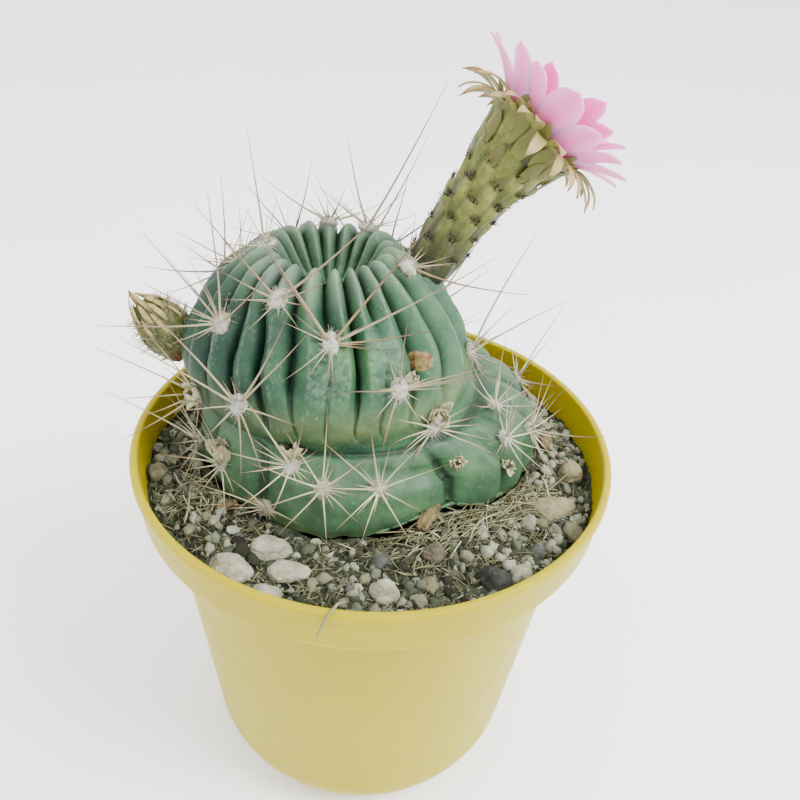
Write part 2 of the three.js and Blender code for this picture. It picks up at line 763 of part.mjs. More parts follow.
function bud(bodyGrown) {
  const sides = 12;
  const rings = [];
  const shares = [0.96, 0.85, 0.65, 0.42, 0.2, 0.06];
  shares.forEach((share) => {
    const ring = [];
    const swell = Math.pow(Math.sin(Math.PI * Math.min(1, 0.12 + share * 0.82)), 0.7);
    for (let side = 0; side < sides; side++) {
      const angle = (2 * Math.PI * side) / sides;
      const ridge = side % 2 === 0 ? 1.05 : 0.95;
      const radius = BUD_RADIUS * swell * ridge;
      ring.push(new THREE.Vector3(radius * Math.cos(angle), radius * Math.sin(angle), share * BUD_LENGTH));
    }
    rings.push(ring);
  });
  const pieces = [solidOf(skinGeometry(rings, new THREE.Vector3(0, 0, BUD_LENGTH), new THREE.Vector3()))];
  const scales = 8;
  for (let scale = 0; scale < scales; scale++) {
    const share = 0.2 + (0.68 * scale) / scales;
    const swell = Math.pow(Math.sin(Math.PI * Math.min(1, 0.12 + share * 0.82)), 0.7);
    pieces.push(
      bladeSolid({
        turn: scale * GOLDEN_ANGLE,
        radius: BUD_RADIUS * swell - 0.8,
        height: share * BUD_LENGTH,
        length: 5,
        width: 2.6,
        thickness: 1.0,
        startAngle: 40 - 40 * share,
        endAngle: -10 - 20 * share,
        cup: 0.1,
        steps: 2,
      }),
    );
  }
  const solid = solidOf(placed(joined(pieces), frameAlong(BUD_FOOT, BUD_DIRECTION)));
  return largestPiece(solid.subtract(bodyGrown));
}

// Areoles, each a pad of felt with its spines. A spine is [clock angle, length, lean]: the clock angle
// is 0 towards the crown and 90 towards growing bearings, and the lean is from the surface's normal.
const AREOLES = [
  {
    name: "areole_front_upper",
    bearing: -82.5,
    height: 142,
    size: 1.25,
    spines: [
      [43, 41, 62],
      [68, 36, 66],
      [-36, 30, 62],
      [-39, 25, 54],
      [88, 24, 72],
      [101, 14, 70],
      [-131, 14, 70],
      [186, 12, 60],
    ],
  },
  {
    name: "areole_upper_left",
    bearing: -112,
    height: 148,
    size: 0.9,
    spines: [
      [-65, 22, 60],
      [-90, 14, 75],
      [54, 38, 60],
      [66, 14, 75],
      [-125, 5, 75],
    ],
  },
  {
    name: "areole_left_shoulder",
    bearing: -137,
    height: 140.8,
    size: 0.9,
    spines: [
      [-68, 22, 60],
      [-16, 25, 66],
      [-98, 18, 68],
      [42, 21, 82],
      [-45, 13.5, 58],
      [-135, 24, 60],
    ],
  },
  {
    name: "areole_left",
    bearing: -117.6,
    height: 126.8,
    size: 1.35,
    spines: [
      [40, 32, 87],
      [34, 34, 84],
      [-39, 29, 75],
      [-65, 26, 75],
      [-107, 13, 70],
      [-150, 12.5, 68],
      [79, 21, 84],
      [128, 18, 75],
      [150, 16, 72],
      [0, 9, 60],
    ],
  },
  {
    name: "areole_right",
    bearing: -56.9,
    height: 132.3,
    size: 1.1,
    spines: [
      [85, 21.5, 70],
      [90, 21, 71],
      [94, 19, 76],
      [102, 12, 78],
      [-74, 20, 72],
      [-28, 14, 70],
      [0, 20, 78],
      [-134, 15, 70],
      [-140, 14, 75],
    ],
  },
  {
    name: "areole_crown_right",
    bearing: -14,
    height: 150.5,
    size: 1.1,
    spines: [
      [180, 12.5, 31],
      [180, 26, 70],
      [4, 7.5, 60],
      [45, 10, 55],
      [-100, 9, 84],
    ],
  },
  {
    name: "areole_low_right",
    bearing: -42.3,
    height: 119.6,
    size: 1.1,
    spines: [
      [-38, 22, 93],
      [-56, 18, 90],
      [-64, 14, 88],
      [-80, 15, 84],
      [162, 17, 78],
      [140, 24, 60],
      [131, 16, 66],
      [59, 10, 75],
      [0, 18, 86],
    ],
  },
  {
    name: "areole_right_shoulder",
    bearing: -1,
    height: 127,
    size: 1,
    spines: [
      [22, 30, 77],
      [40, 14, 48],
      [50, 23, 27],
      [145, 21, 55],
      [105, 14, 66],
      [-40, 12, 74],
      [-150, 7, 70],
    ],
  },
  {
    name: "areole_far_left",
    bearing: -153,
    height: 118.4,
    size: 1.2,
    spines: [
      [5, 25, 58],
      [-20, 19, 80],
      [46, 20, 60],
      [62, 21, 60],
      [70, 26, 58],
      [120, 12, 70],
      [-40, 9, 84],
    ],
  },
  {
    name: "areole_crown_left",
    bearing: -178,
    height: 148.4,
    size: 1,
    spines: [
      [-139, 19, 60],
      [-115, 12, 62],
      [-160, 12, 68],
      [-60, 12, 56],
      [150, 9, 72],
    ],
  },
  {
    name: "areole_crown_back_left",
    bearing: -168,
    height: 152.4,
    size: 0.8,
    spines: [
      [-60, 25, 26],
      [-112, 18, 60],
      [-2, 19, 60],
    ],
  },
  {
    name: "areole_crown_back",
    bearing: 96,
    height: 152.3,
    size: 0.8,
    spines: [
      [62, 18.5, 75],
      [-115, 15, 84],
      [-30, 9, 50],
      [30, 9, 55],
    ],
  },
  {
    name: "areole_crown_back_right",
    bearing: 62,
    height: 152.2,
    size: 0.8,
    spines: [
      [60, 18.5, 30],
      [40, 14, 74],
      [-120, 32, 34],
      [-110, 8, 84],
    ],
  },
];

// The tier's areoles and the hidden ones, by rule: bearing, height, spine count, spine length, seed
const RULED_AREOLES = [
  ["areole_tier_front", -82, 112.2, 9, 15, 101],
  ["areole_tier_front_left", -100, 111.2, 9, 14, 102],
  ["areole_tier_right", -15, 116, 9, 12, 103],
  ["areole_tier_low_right", -28, 113.2, 9, 15, 104],
  ["areole_tier_left", -110, 113.8, 8, 15, 105],
  ["areole_tier_low_left", -138, 106.6, 8, 16, 106],
  ["areole_tier_far_left", -158, 103.5, 8, 15, 107],
  ["areole_tier_foot", -119, 100.5, 8, 14, 108],
  ["areole_tier_side", -15, 109.5, 9, 14, 109],
];
const REAR_UPPER = 4;
const REAR_MIDDLE = 4;
const REAR_LOWER = 4;
function addRearAreole(name, bearing, height, count, length, seed) {
  RULED_AREOLES.push([name, nearestCrest(bearing, levelAt(height)), height, count, length, seed]);
}
for (let i = 0; i < REAR_UPPER; i++) {
  addRearAreole(`areole_rear_upper_${i + 1}`, 54 + i * 33, i % 2 ? 137 : 143, 5, 18, 120 + i);
}
for (let i = 0; i < REAR_MIDDLE; i++) {
  addRearAreole(`areole_rear_middle_${i + 1}`, 38 + i * 37, i % 2 ? 121 : 126, 5, 17, 130 + i);
}
for (let i = 0; i < REAR_LOWER; i++) {
  addRearAreole(`areole_rear_lower_${i + 1}`, 24 + i * 42, 108, 6, 14, 140 + i);
}

RULED_AREOLES.forEach(([name, bearing, height, count, length, seed]) => {
  const random = seeded(seed);
  const phase = random() * 360;
  const spines = [];
  for (let i = 0; i < count; i++) {
    const central = i === count - 1;
    const clock = phase + ((i + 0.4 * random()) * 360) / count;
    const upward = 1 + 0.15 * Math.cos(clock * degrees);
    const reach = length * upward * (0.85 + 0.3 * random()) * (central ? 1.3 : 1);
    spines.push([clock, reach, central ? 40 : 68 + 10 * random()]);
  }
  AREOLES.push({ name, bearing, height, size: 1, spines });
});

// Spine paths: a root, a direction and a bend, with points along them
const SPINE_BEND = 0.14;
const SPINE_LIFT = 0.05;
const ROOT_RISE = 0.75;
const ROOT_SPREAD = 0.5;
const TRIES = 24;
const WATCHED_SHARES = [0.25, 0.45, 0.6, 0.85];

function blend(start, end, angle) {
  return start.clone().multiplyScalar(Math.cos(angle)).addScaledVector(end, Math.sin(angle));
}

function spinePoint(root, direction, bend, length, share) {
  const along = length * share;
  return root.clone().addScaledVector(direction, along).addScaledVector(bend, along * share);
}

function spinePath(root, direction, bend, length) {
  return [0, 0.5, 1].map((share) => spinePoint(root, direction, bend, length, share));
}

function segmentDistance(a, b, c, d) {
  const ab = b.clone().sub(a);
  const cd = d.clone().sub(c);
  const ac = c.clone().sub(a);
  const abab = ab.dot(ab);
  const cdcd = cd.dot(cd);
  const abcd = ab.dot(cd);
  const spread = abab * cdcd - abcd * abcd;
  let s = spread > 1e-9 ? (ac.dot(ab) * cdcd - ac.dot(cd) * abcd) / spread : 0;
  s = Math.min(1, Math.max(0, s));
  let t = Math.min(1, Math.max(0, (s * abcd - ac.dot(cd)) / cdcd));
  s = Math.min(1, Math.max(0, (ac.dot(ab) + t * abcd) / abab));
  t = Math.min(1, Math.max(0, (s * abcd - ac.dot(cd)) / cdcd));
  return a.clone().addScaledVector(ab, s).distanceTo(c.clone().addScaledVector(cd, t));
}

function pathDistance(one, other) {
  let nearest = Infinity;
  for (let i = 0; i + 1 < one.length; i++) {
    for (let k = 0; k + 1 < other.length; k++) {
      nearest = Math.min(nearest, segmentDistance(one[i], one[i + 1], other[k], other[k + 1]));
    }
  }
  return nearest;
}

// Whether a point is clear of the body, the soil, the pot and the stones
function standsClear(point, radius) {
  const soilRoom = 1.9 + radius;
  const outFromPot = Math.hypot(point.x, point.y);
  if (outFromPot < RIM_RADIUS + 2 && point.z < SOIL_HEIGHT + soilRoom) return false;
  const overRim = outFromPot > innerRimRadius - 1.5 && outFromPot < RIM_RADIUS + 2;
  if (overRim && point.z < POT_HEIGHT + 1 + radius) return false;
  if (outFromPot > RIM_RADIUS + 1 && point.z < POT_HEIGHT) return false;
  for (const [, x, y, halfLength, , halfHeight] of STONES) {
    const reach = Math.hypot(point.x - x, point.y - y) / (halfLength * 1.25 + 1);
    if (reach < 1 && point.z < SOIL_HEIGHT + halfHeight * 1.6 + 1.2) return false;
  }
  if (point.z > BODY_LEVELS[CROWN_LEVEL][0] + 1) return true;
  if (point.z < SOIL_HEIGHT) return true;
  const level = levelAt(point.z);
  const [, , axisX, axisY] = bodyLevel(level);
  const bearing = Math.atan2(point.y - axisY, point.x - axisX) / degrees;
  const surface = bodyPoint(bearing, level);
  const reach = Math.hypot(surface.x - axisX, surface.y - axisY);
  return Math.hypot(point.x - axisX, point.y - axisY) > reach + 0.5 + radius;
}

const flowerTip = THROAT.clone().addScaledVector(THROAT_DIRECTION, 16);
const budTip = BUD_FOOT.clone().addScaledVector(BUD_DIRECTION, BUD_LENGTH);
const BULKS = [
  [[0, 0.2, 0.4, 0.6].map((share) => tubeAxis.getPoint(share)), 7.4],
  [[0.6, 0.8, 1].map((share) => tubeAxis.getPoint(share)), 10.8],
  [[THROAT, flowerTip], 23],
  [[BUD_FOOT, budTip], 8.4],
];

function spineRadius(length) {
  return 0.3 + Math.min(0.25, length * 0.007);
}

// Each areole's spines, turned a little at a time until they stand clear of everything placed before
function settleSpines() {
  const settled = [];
  AREOLES.forEach((areole, index) => {
    const { bearing, level } = areole;
    const surface = bodyPoint(bearing, level);
    const normal = smoothNormal(bearing, level);
    const crownward = bodyPoint(bearing, level - 0.4).sub(surface).projectOnPlane(normal).normalize();
    const sideways = normal.clone().cross(crownward).negate();
    areole.frame = { surface, normal, crownward, sideways };
    areole.paths = [];
    areole.spines.forEach(([clock, length, lean], order) => {
      const random = seeded(index * 977 + order * 31 + 5);
      const radius = spineRadius(length);
      for (let attempt = 0; attempt < TRIES; attempt++) {
        const loosened = attempt * 1.8;
        const turned = (clock + (random() - 0.5) * loosened * 2) * degrees;
        const leaned = Math.max(10, lean - loosened * 0.5 + (random() - 0.5) * loosened) * degrees;
        const flat = blend(crownward, sideways, turned);
        const direction = blend(normal, flat, leaned);
        const root = surface.clone().addScaledVector(normal, ROOT_RISE).addScaledVector(flat, ROOT_SPREAD);
        const bend = normal.clone().multiplyScalar(SPINE_BEND * (0.4 + random()));
        bend.z += SPINE_LIFT;
        const shortened = attempt < TRIES / 2 ? length : length * 0.65;
        const path = spinePath(root, direction, bend, shortened);
        const watched = WATCHED_SHARES.map((share) => spinePoint(root, direction, bend, shortened, share));
        const clearOfThings = [...watched, ...path.slice(1)].every((point) => standsClear(point, radius));
        const clearOfBulks = BULKS.every(([bulk, reach]) => pathDistance(path, bulk) > reach + radius);
        const clearOfSpines = settled.every((other) => {
          const room = radius + other.radius + SPINE_CLEARANCE;
          return other.areole === index || pathDistance(path, other.path) > room;
        });
        const clearOfPads = AREOLES.every((neighbour, k) => {
          const room = AREOLE_RADIUS * neighbour.size + PAD_CLEARANCE;
          return k === index || pathDistance(path, neighbour.core) > room;
        });
        if (clearOfThings && clearOfBulks && clearOfSpines && clearOfPads) {
          areole.paths.push({ path, radius });
          settled.push({ areole: index, path, radius });
          break;
        }
      }
    });
  });
}

AREOLES.forEach((areole) => {
  areole.level = levelAt(areole.height);
  areole.core = [0, AREOLE_HEIGHT].map((outward) => bodyPoint(areole.bearing, areole.level, outward));
});
settleSpines();

function spineSolid({ path, radius }) {
  const rings = [];
  for (let i = 0; i + 1 < path.length; i++) {
    const along = path[i + 1].clone().sub(path[Math.max(0, i - 1)]).normalize();
    const share = i / (path.length - 1);
    const side = new THREE.Vector3(0.31, 0.57, 0.76).cross(along).normalize();
    const up = along.clone().cross(side);
    const ring = [];
    for (let corner = 0; corner < SPINE_SIDES; corner++) {
      const angle = (2 * Math.PI * corner) / SPINE_SIDES;
      const reach = radius * (1 - 0.45 * share);
      ring.push(path[i].clone().addScaledVector(blend(side, up, angle), reach));
    }
    rings.push(ring);
  }
  rings.reverse();
  return solidOf(skinGeometry(rings, path[path.length - 1], middle(rings[rings.length - 1])));
}

function padSolid({ frame, size }) {
  const sides = 6;
  const layers = [
    [0.8, AREOLE_HEIGHT * 0.75],
    [1, -0.6],
  ];
  const rings = layers.map(([share, rise]) => {
    const ring = [];
    for (let side = 0; side < sides; side++) {
      const angle = (2 * Math.PI * side) / sides;
      const reach = AREOLE_RADIUS * size * share;
      ring.push(
        frame.surface
          .clone()
          .addScaledVector(frame.sideways, reach * 0.9 * Math.cos(angle))
          .addScaledVector(frame.crownward, reach * 1.15 * Math.sin(angle))
          .addScaledVector(frame.normal, rise),
      );
    }
    return ring;
  });
  const top = frame.surface.clone().addScaledVector(frame.normal, AREOLE_HEIGHT * 1.1);
  return solidOf(skinGeometry(rings, top, middle(rings[rings.length - 1])));
}

function areoleSolid(areole, bodyGrown) {
  const pieces = [padSolid(areole), ...areole.paths.map(spineSolid)];
  return largestPiece(joined(pieces).subtract(bodyGrown));
}

// Materials
const paint = (color, roughness) => new THREE.MeshStandardMaterial({ color, roughness, metalness: 0 });
const yellowPlastic = paint(0xf2e21c, 0.35);
const soilBrown = paint(0x5b5247, 0.95);
const plantGreen = paint(0x4e7f6c, 0.6);
const spineTan = paint(0xcdb48f, 0.55);
const tubeGreen = paint(0x8d9148, 0.7);
const sepalTan = paint(0xc4b878, 0.6);
const petalPink = paint(0xf3b3d6, 0.5);
const innerPink = paint(0xf0a5d0, 0.5);
const pollenCream = paint(0xf2e8b0, 0.6);
const stigmaGreen = paint(0xcfd88a, 0.6);
const budOlive = paint(0x9a8a4a, 0.7);
const stoneWhite = paint(0xe9e4d6, 0.8);
const stoneDark = paint(0x34373a, 0.8);

const plant = new THREE.Group();
function addPiece(name, geometry, material) {
  const mesh = new THREE.Mesh(geometry, material);
  mesh.name = name;
  plant.add(mesh);
}

const body = bodySolid(0);
const bodyGrown = bodySolid(GAP + 0.08);

addPiece("pot", potGeometry(), yellowPlastic);
addPiece("soil", geometryOf(soilSolid()), soilBrown);
STONES.forEach((stone) => {
  addPiece(stone[0], stoneGeometry(stone), stone[0] === "stone_black" ? stoneDark : stoneWhite);
});
addPiece("cactus_body", geometryOf(body), plantGreen);
addPiece("flower_tube", geometryOf(flowerTube(bodyGrown)), tubeGreen);
const throatFrame = frameAlong(THROAT, THROAT_DIRECTION);
addPiece("flower_sepals", placed(whorl(sepalWhorl), throatFrame), sepalTan);
addPiece("flower_petals_outer", placed(whorl(outerPetalWhorl), throatFrame), petalPink);
addPiece("flower_petals_inner", placed(whorl(innerPetalWhorl), throatFrame), innerPink);
addPiece("flower_stamens", placed(stamens(), throatFrame), pollenCream);
addPiece("flower_pistil", placed(pistil(), throatFrame), stigmaGreen);
addPiece("flower_bud", geometryOf(bud(bodyGrown)), budOlive);
AREOLES.forEach((areole) => {
  addPiece(areole.name, geometryOf(areoleSolid(areole, bodyGrown)), spineTan);
});

export default plant;
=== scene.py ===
"""Looks for the potted round cactus: skin, felt, spines, flower, bud, soil, stones and pot.

Shapes are worked out in millimetres in the frame of the solids, and become metres when a mesh is made.
"""

import math
import random

import bmesh
import bpy
import numpy as np
from mathutils import Matrix, Vector, noise
from mathutils.bvhtree import BVHTree


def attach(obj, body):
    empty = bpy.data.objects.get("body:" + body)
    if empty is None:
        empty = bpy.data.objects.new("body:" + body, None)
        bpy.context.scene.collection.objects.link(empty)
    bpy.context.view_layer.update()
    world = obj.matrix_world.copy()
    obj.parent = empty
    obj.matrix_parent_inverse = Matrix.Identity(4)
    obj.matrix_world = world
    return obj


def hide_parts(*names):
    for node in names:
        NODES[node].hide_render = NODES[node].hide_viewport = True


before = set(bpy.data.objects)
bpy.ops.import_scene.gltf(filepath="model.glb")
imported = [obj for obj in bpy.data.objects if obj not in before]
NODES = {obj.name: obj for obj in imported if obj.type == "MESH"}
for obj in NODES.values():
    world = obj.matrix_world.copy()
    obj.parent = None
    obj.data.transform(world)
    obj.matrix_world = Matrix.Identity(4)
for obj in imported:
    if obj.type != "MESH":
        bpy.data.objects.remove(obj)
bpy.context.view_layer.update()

# Pot and soil, as in the solids
POT_HEIGHT = 105.5
RIM_RADIUS = 60.0
COLLAR_HEIGHT = 11.9
COLLAR_FOOT = POT_HEIGHT - COLLAR_HEIGHT
COLLAR_FOOT_RADIUS = 58.7
WALL_TOP_RADIUS = 52.6
WALL_THICKNESS = 1.5
BASE_ROUNDING = 17.7
BASE_RADIUS = 44.9
FOOT_RADIUS = 37.5
FLOOR_HEIGHT = 3.2
DRAIN_RADIUS = 3.5
DRAIN_CIRCLE = 25.0
DRAINS = 6
SOIL_HEIGHT = 97.0

# Levels of the body from the middle of its crown down to its root tip, as in the solids:
# height, radius, axis x, axis y, rib depth, tubercle swell
BODY_OVAL = 0.945
BODY_LEVELS = np.array([
    [139.0, 0.0, -12.5, 6.5, 0.0, 0.0],
    [144.0, 7.4, -12.5, 6.5, 1.8, 0.0],
    [152.4, 12.4, -12.6, 6.6, 3.8, 0.0],
    [151.4, 17.6, -12.8, 6.7, 4.6, 0.0],
    [147.4, 22.8, -13.0, 6.8, 5.0, 0.0],
    [142.8, 27.4, -13.0, 7.0, 5.4, 0.0],
    [137.5, 31.2, -13.0, 7.0, 5.4, 0.0],
    [132.2, 33.8, -13.0, 7.0, 4.8, 0.0],
    [126.6, 35.2, -13.0, 7.0, 3.2, 0.0],
    [122.2, 35.2, -12.6, 7.0, 1.6, 0.2],
    [118.9, 34.4, -11.4, 7.2, 0.4, 0.2],
    [116.9, 34.2, -8.8, 7.8, 0.0, 0.4],
    [115.2, 38.0, -4.6, 8.9, 0.0, 2.2],
    [110.4, 42.6, -2.4, 9.4, 0.0, 3.0],
    [103.0, 44.2, -2.2, 9.4, 0.0, 2.8],
    [98.2, 43.4, -2.2, 9.4, 0.0, 2.0],
    [95.6, 41.0, -2.2, 9.4, 0.0, 1.0],
    [89.5, 27.0, -2.2, 9.4, 0.0, 0.0],
    [86.4, 0.0, -2.2, 9.4, 0.0, 0.0],
])
LAST_LEVEL = len(BODY_LEVELS) - 1
FRONT_RIBS = [
    (-165, -152, -146, 10),
    (-149, -136, -127, 10),
    (-135, -121, -113, 9.6),
    (-119, -108, -100, 8.2),
    (-98, -91, -91, 5.8),
    (-79, -75, -79, 8.4),
    (-64, -67, -70, 5.4),
    (-50, -53, -60, 9),
    (-34, -35, -45, 9.6),
    (-10, -15, -20, 10),
    (8, 5, 0, 10),
]
REAR_RIBS = 10
VALLEY_END, VALLEY_FADE = 10, 1.8
ROUND_CREST, CREST_POWER = 0.6, 1.3
CROWN_LEVEL, SHOULDER_LEVEL, WAIST_LEVEL = 2, 6, 9
FRONT_TUBERCLES = [(-158, 1), (-140, 1), (-104, 0.12), (-70, 1), (-40, 0.8), (-28, 0.8), (-15, 0.8), (0, 1)]
REAR_TUBERCLES = 8
HOLLOW_BEARING, HOLLOW_HALF_WIDTH, HOLLOW_DEPTH, HOLLOW_LEVEL, HOLLOW_SPREAD = -62, 22, 5.5, 11, 1.5

# The flower's axis and the bud's, as in the solids
TUBE_FOOT = np.array([8.4, 12.0, 141.5])
TUBE_START = np.array([0.4, 0.2, 0.9])
THROAT = np.array([30.1, 21.0, 174.6])
THROAT_DIRECTION = np.array([0.67, 0.2, 0.71])
BUD_FOOT = np.array([-46.5, 4.5, 122.0])
BUD_DIRECTION = np.array([-0.72, 0.18, 0.68])
BUD_LENGTH = 18.0
BUD_RADIUS = 6.6

# The photograph's camera, worked out from the outlines of the rim and the base
CAMERA_PLACE = (5.94, -162.58, 229.67)
CAMERA_FORWARD = (0.0, 0.81866, -0.57428)
CAMERA_RIGHT = (0.99737, 0.04166, 0.05939)
CAMERA_LENS = 36.0
PICTURE_SIZE = 800
SIGHT_TRIES, SIGHT_STEP = 60, 0.98

# Seen in the photograph: pixel x and y, and size in mm, of each dried flower, and of the corky scar
DRIED_FLOWERS = [
    (226, 454, 4.4),
    (293, 449, 4.6),
    (434, 418, 4.0),
    (194, 394, 3.4),
    (409, 377, 2.0),
    (457, 461, 2.0),
    (508, 463, 2.2),
]
SCAR_PIXEL = (419, 361)
SCAR_REACH = (3.9, 3.2, 2.5)

MM = 0.001
GOLDEN_ANGLE = math.radians(137.5)


# Meshes


def unit(vector):
    vector = np.asarray(vector, float)
    return vector / np.linalg.norm(vector, axis=-1, keepdims=True)


def smooth(share):
    share = np.clip(share, 0, 1)
    return share * share * (3 - 2 * share)


def bell(distance, width):
    return np.exp(-((distance / width) ** 2))


def circle(radius, height, angle):
    """Points round the z axis."""
    return np.stack([radius * np.cos(angle), radius * np.sin(angle), height + 0 * angle], -1)


def round_angles(count):
    return np.arange(count) * 2 * math.pi / count


def turned(points, angle):
    cosine, sine = math.cos(angle), math.sin(angle)
    return points @ np.array([[cosine, sine, 0], [-sine, cosine, 0], [0, 0, 1]])


def scatter(draw, *spreads):
    return np.array([draw.gauss(0, spread) for spread in spreads])


def frames_along(direction):
    direction = unit(direction)
    side = unit(np.cross([0.0, 0.0, 1.0], direction))
    return np.stack([side, np.cross(direction, side), direction])


def add_object(name, data):
    thing = bpy.data.objects.new(name, data)
    bpy.context.collection.objects.link(thing)
    return thing


def mesh_piece(name, points, faces, paint, node=None, values=None, outward=False):
    """A piece of the visual model, in place of a node where one is named.

    faces is a list of integer arrays, each of faces with one corner count.
    """
    corners = np.concatenate([group.ravel() for group in faces])
    counts = np.concatenate([np.full(len(group), group.shape[1]) for group in faces])
    mesh = bpy.data.meshes.new(name)
    mesh.vertices.add(len(points))
    mesh.vertices.foreach_set("co", (points * MM).ravel())
    mesh.loops.add(len(corners))
    mesh.loops.foreach_set("vertex_index", corners.astype(np.int32))
    mesh.polygons.add(len(counts))
    mesh.polygons.foreach_set("loop_start", (np.cumsum(counts) - counts).astype(np.int32))
    mesh.update(calc_edges=True)
    for key, numbers in (values or {}).items():
        layer = mesh.attributes.new(key, "FLOAT", "POINT")
        layer.data.foreach_set("value", np.asarray(numbers, np.float32))
    mesh.validate()
    if outward:
        shell = bmesh.new()
        shell.from_mesh(mesh)
        bmesh.ops.recalc_face_normals(shell, faces=shell.faces)
        shell.to_mesh(mesh)
        shell.free()
    mesh.shade_smooth()
    mesh.materials.append(paint)
    piece = add_object(name, mesh)
    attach(piece, "root")
    if node:
        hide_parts(node)
    return piece


def grid_faces(rows, columns):
    """Quads over rings of points that run downward, counter-clockwise seen from outside."""
    number = np.arange(rows * columns).reshape(rows, columns)
    upper, lower = number[:-1], number[1:]
    return np.stack([upper, lower, np.roll(lower, -1, 1), np.roll(upper, -1, 1)], -1).reshape(-1, 4)


def capped(rings, top, tip):
    """Points and faces of a closed surface over rings that run downward from its top to its tip."""
    rows, columns, _ = np.shape(rings)
    around = np.arange(columns)
    following = (around + 1) % columns
    count = rows * columns
    last = count - columns
    faces = [
        grid_faces(rows, columns),
        np.stack([np.full(columns, count), around, following], -1),
        np.stack([np.full(columns, count + 1), last + following, last + around], -1),
    ]
    return np.concatenate([np.reshape(rings, (-1, 3)), [top, tip]]), faces


def strands(paths, radii, sides):
    """Closed, tapering tubes along many paths with equal counts of points."""
    paths = np.asarray(paths, float)
    count, steps, _ = paths.shape
    tangents = unit(np.gradient(paths, axis=1) + 1e-9)
    steep = np.abs(tangents.mean(axis=1)[:, 2:3]) > 0.8
    reference = np.where(steep, [[1.0, 0.2, 0.0]], [[0.1, 0.0, 1.0]])
    sideways = unit(np.cross(reference[:, None, :], tangents))
    upward = np.cross(tangents, sideways)
    angles = round_angles(sides)[:, None]
    ring = sideways[:, :, None] * np.cos(angles) + upward[:, :, None] * np.sin(angles)
    points = paths[:, :, None] + ring * np.broadcast_to(radii, (count, steps))[:, :, None, None]
    number = np.arange(count * steps * sides).reshape(count, steps, sides)
    near, far = number[:, :-1], number[:, 1:]
    quads = np.stack([near, np.roll(near, -1, 2), np.roll(far, -1, 2), far], -1).reshape(-1, 4)
    fan = np.arange(1, sides - 1)
    foot, head = number[:, 0], number[:, -1]
    first = np.stack([foot[:, :1] + 0 * fan, foot[:, fan + 1], foot[:, fan]], -1).reshape(-1, 3)
    last = np.stack([head[:, :1] + 0 * fan, head[:, fan], head[:, fan + 1]], -1).reshape(-1, 3)
    along = np.broadcast_to(np.linspace(0, 1, steps)[:, None], number.shape).ravel()
    index = np.broadcast_to(np.arange(count)[:, None, None], number.shape).ravel()
    return points.reshape(-1, 3), [quads, first, last], along, index


def sphere_template(subdivisions):
    ball = bmesh.new()
    bmesh.ops.create_icosphere(ball, subdivisions=subdivisions, radius=1.0)
    points = np.array([vertex.co[:] for vertex in ball.verts])
    triangles = np.array([[vertex.index for vertex in face.verts] for face in ball.faces])
    ball.free()
    return points, triangles


def join_parts(parts):
    """Many shapes, each its points, its one array of faces and its values, as one."""
    starts = np.cumsum([0] + [len(part[0]) for part in parts])
    points, faces, *values = zip(*parts)
    faces = [group + start for group, start in zip(faces, starts)]
    return [np.concatenate(lists) for lists in (points, faces, *values)]


def fractal(points, scale, octaves, seed=0.0):
    """Smooth noise in -1..1 at each point, at a scale given in millimetres."""
    shift = Vector((seed * 17.3, seed * 5.1, seed * 9.7))
    return np.array([noise.fractal(Vector(p) / scale + shift, 0.6, 2.1, octaves) for p in points])


def skin_tree(mesh):
    return BVHTree.FromPolygons([v.co / MM for v in mesh.vertices], [p.vertices[:] for p in mesh.polygons])


# Materials

DIMMED = 0.56
# Painted light: the petals' colour is raised by half again, so that they look lit through
PETAL_LIGHT = [1.5, 1.5, 1.5, 1.0]
NO_SOFTNESS = (0, 50)


def linear(code):
    """A colour as it should look on the object, dimmed to suit the strong white light of the studio."""
    channels = [int(code[i:i + 2], 16) / 255 for i in (1, 3, 5)]
    return [DIMMED * (c / 12.92 if c <= 0.04045 else ((c + 0.055) / 1.055) ** 2.4) for c in channels] + [1.0]


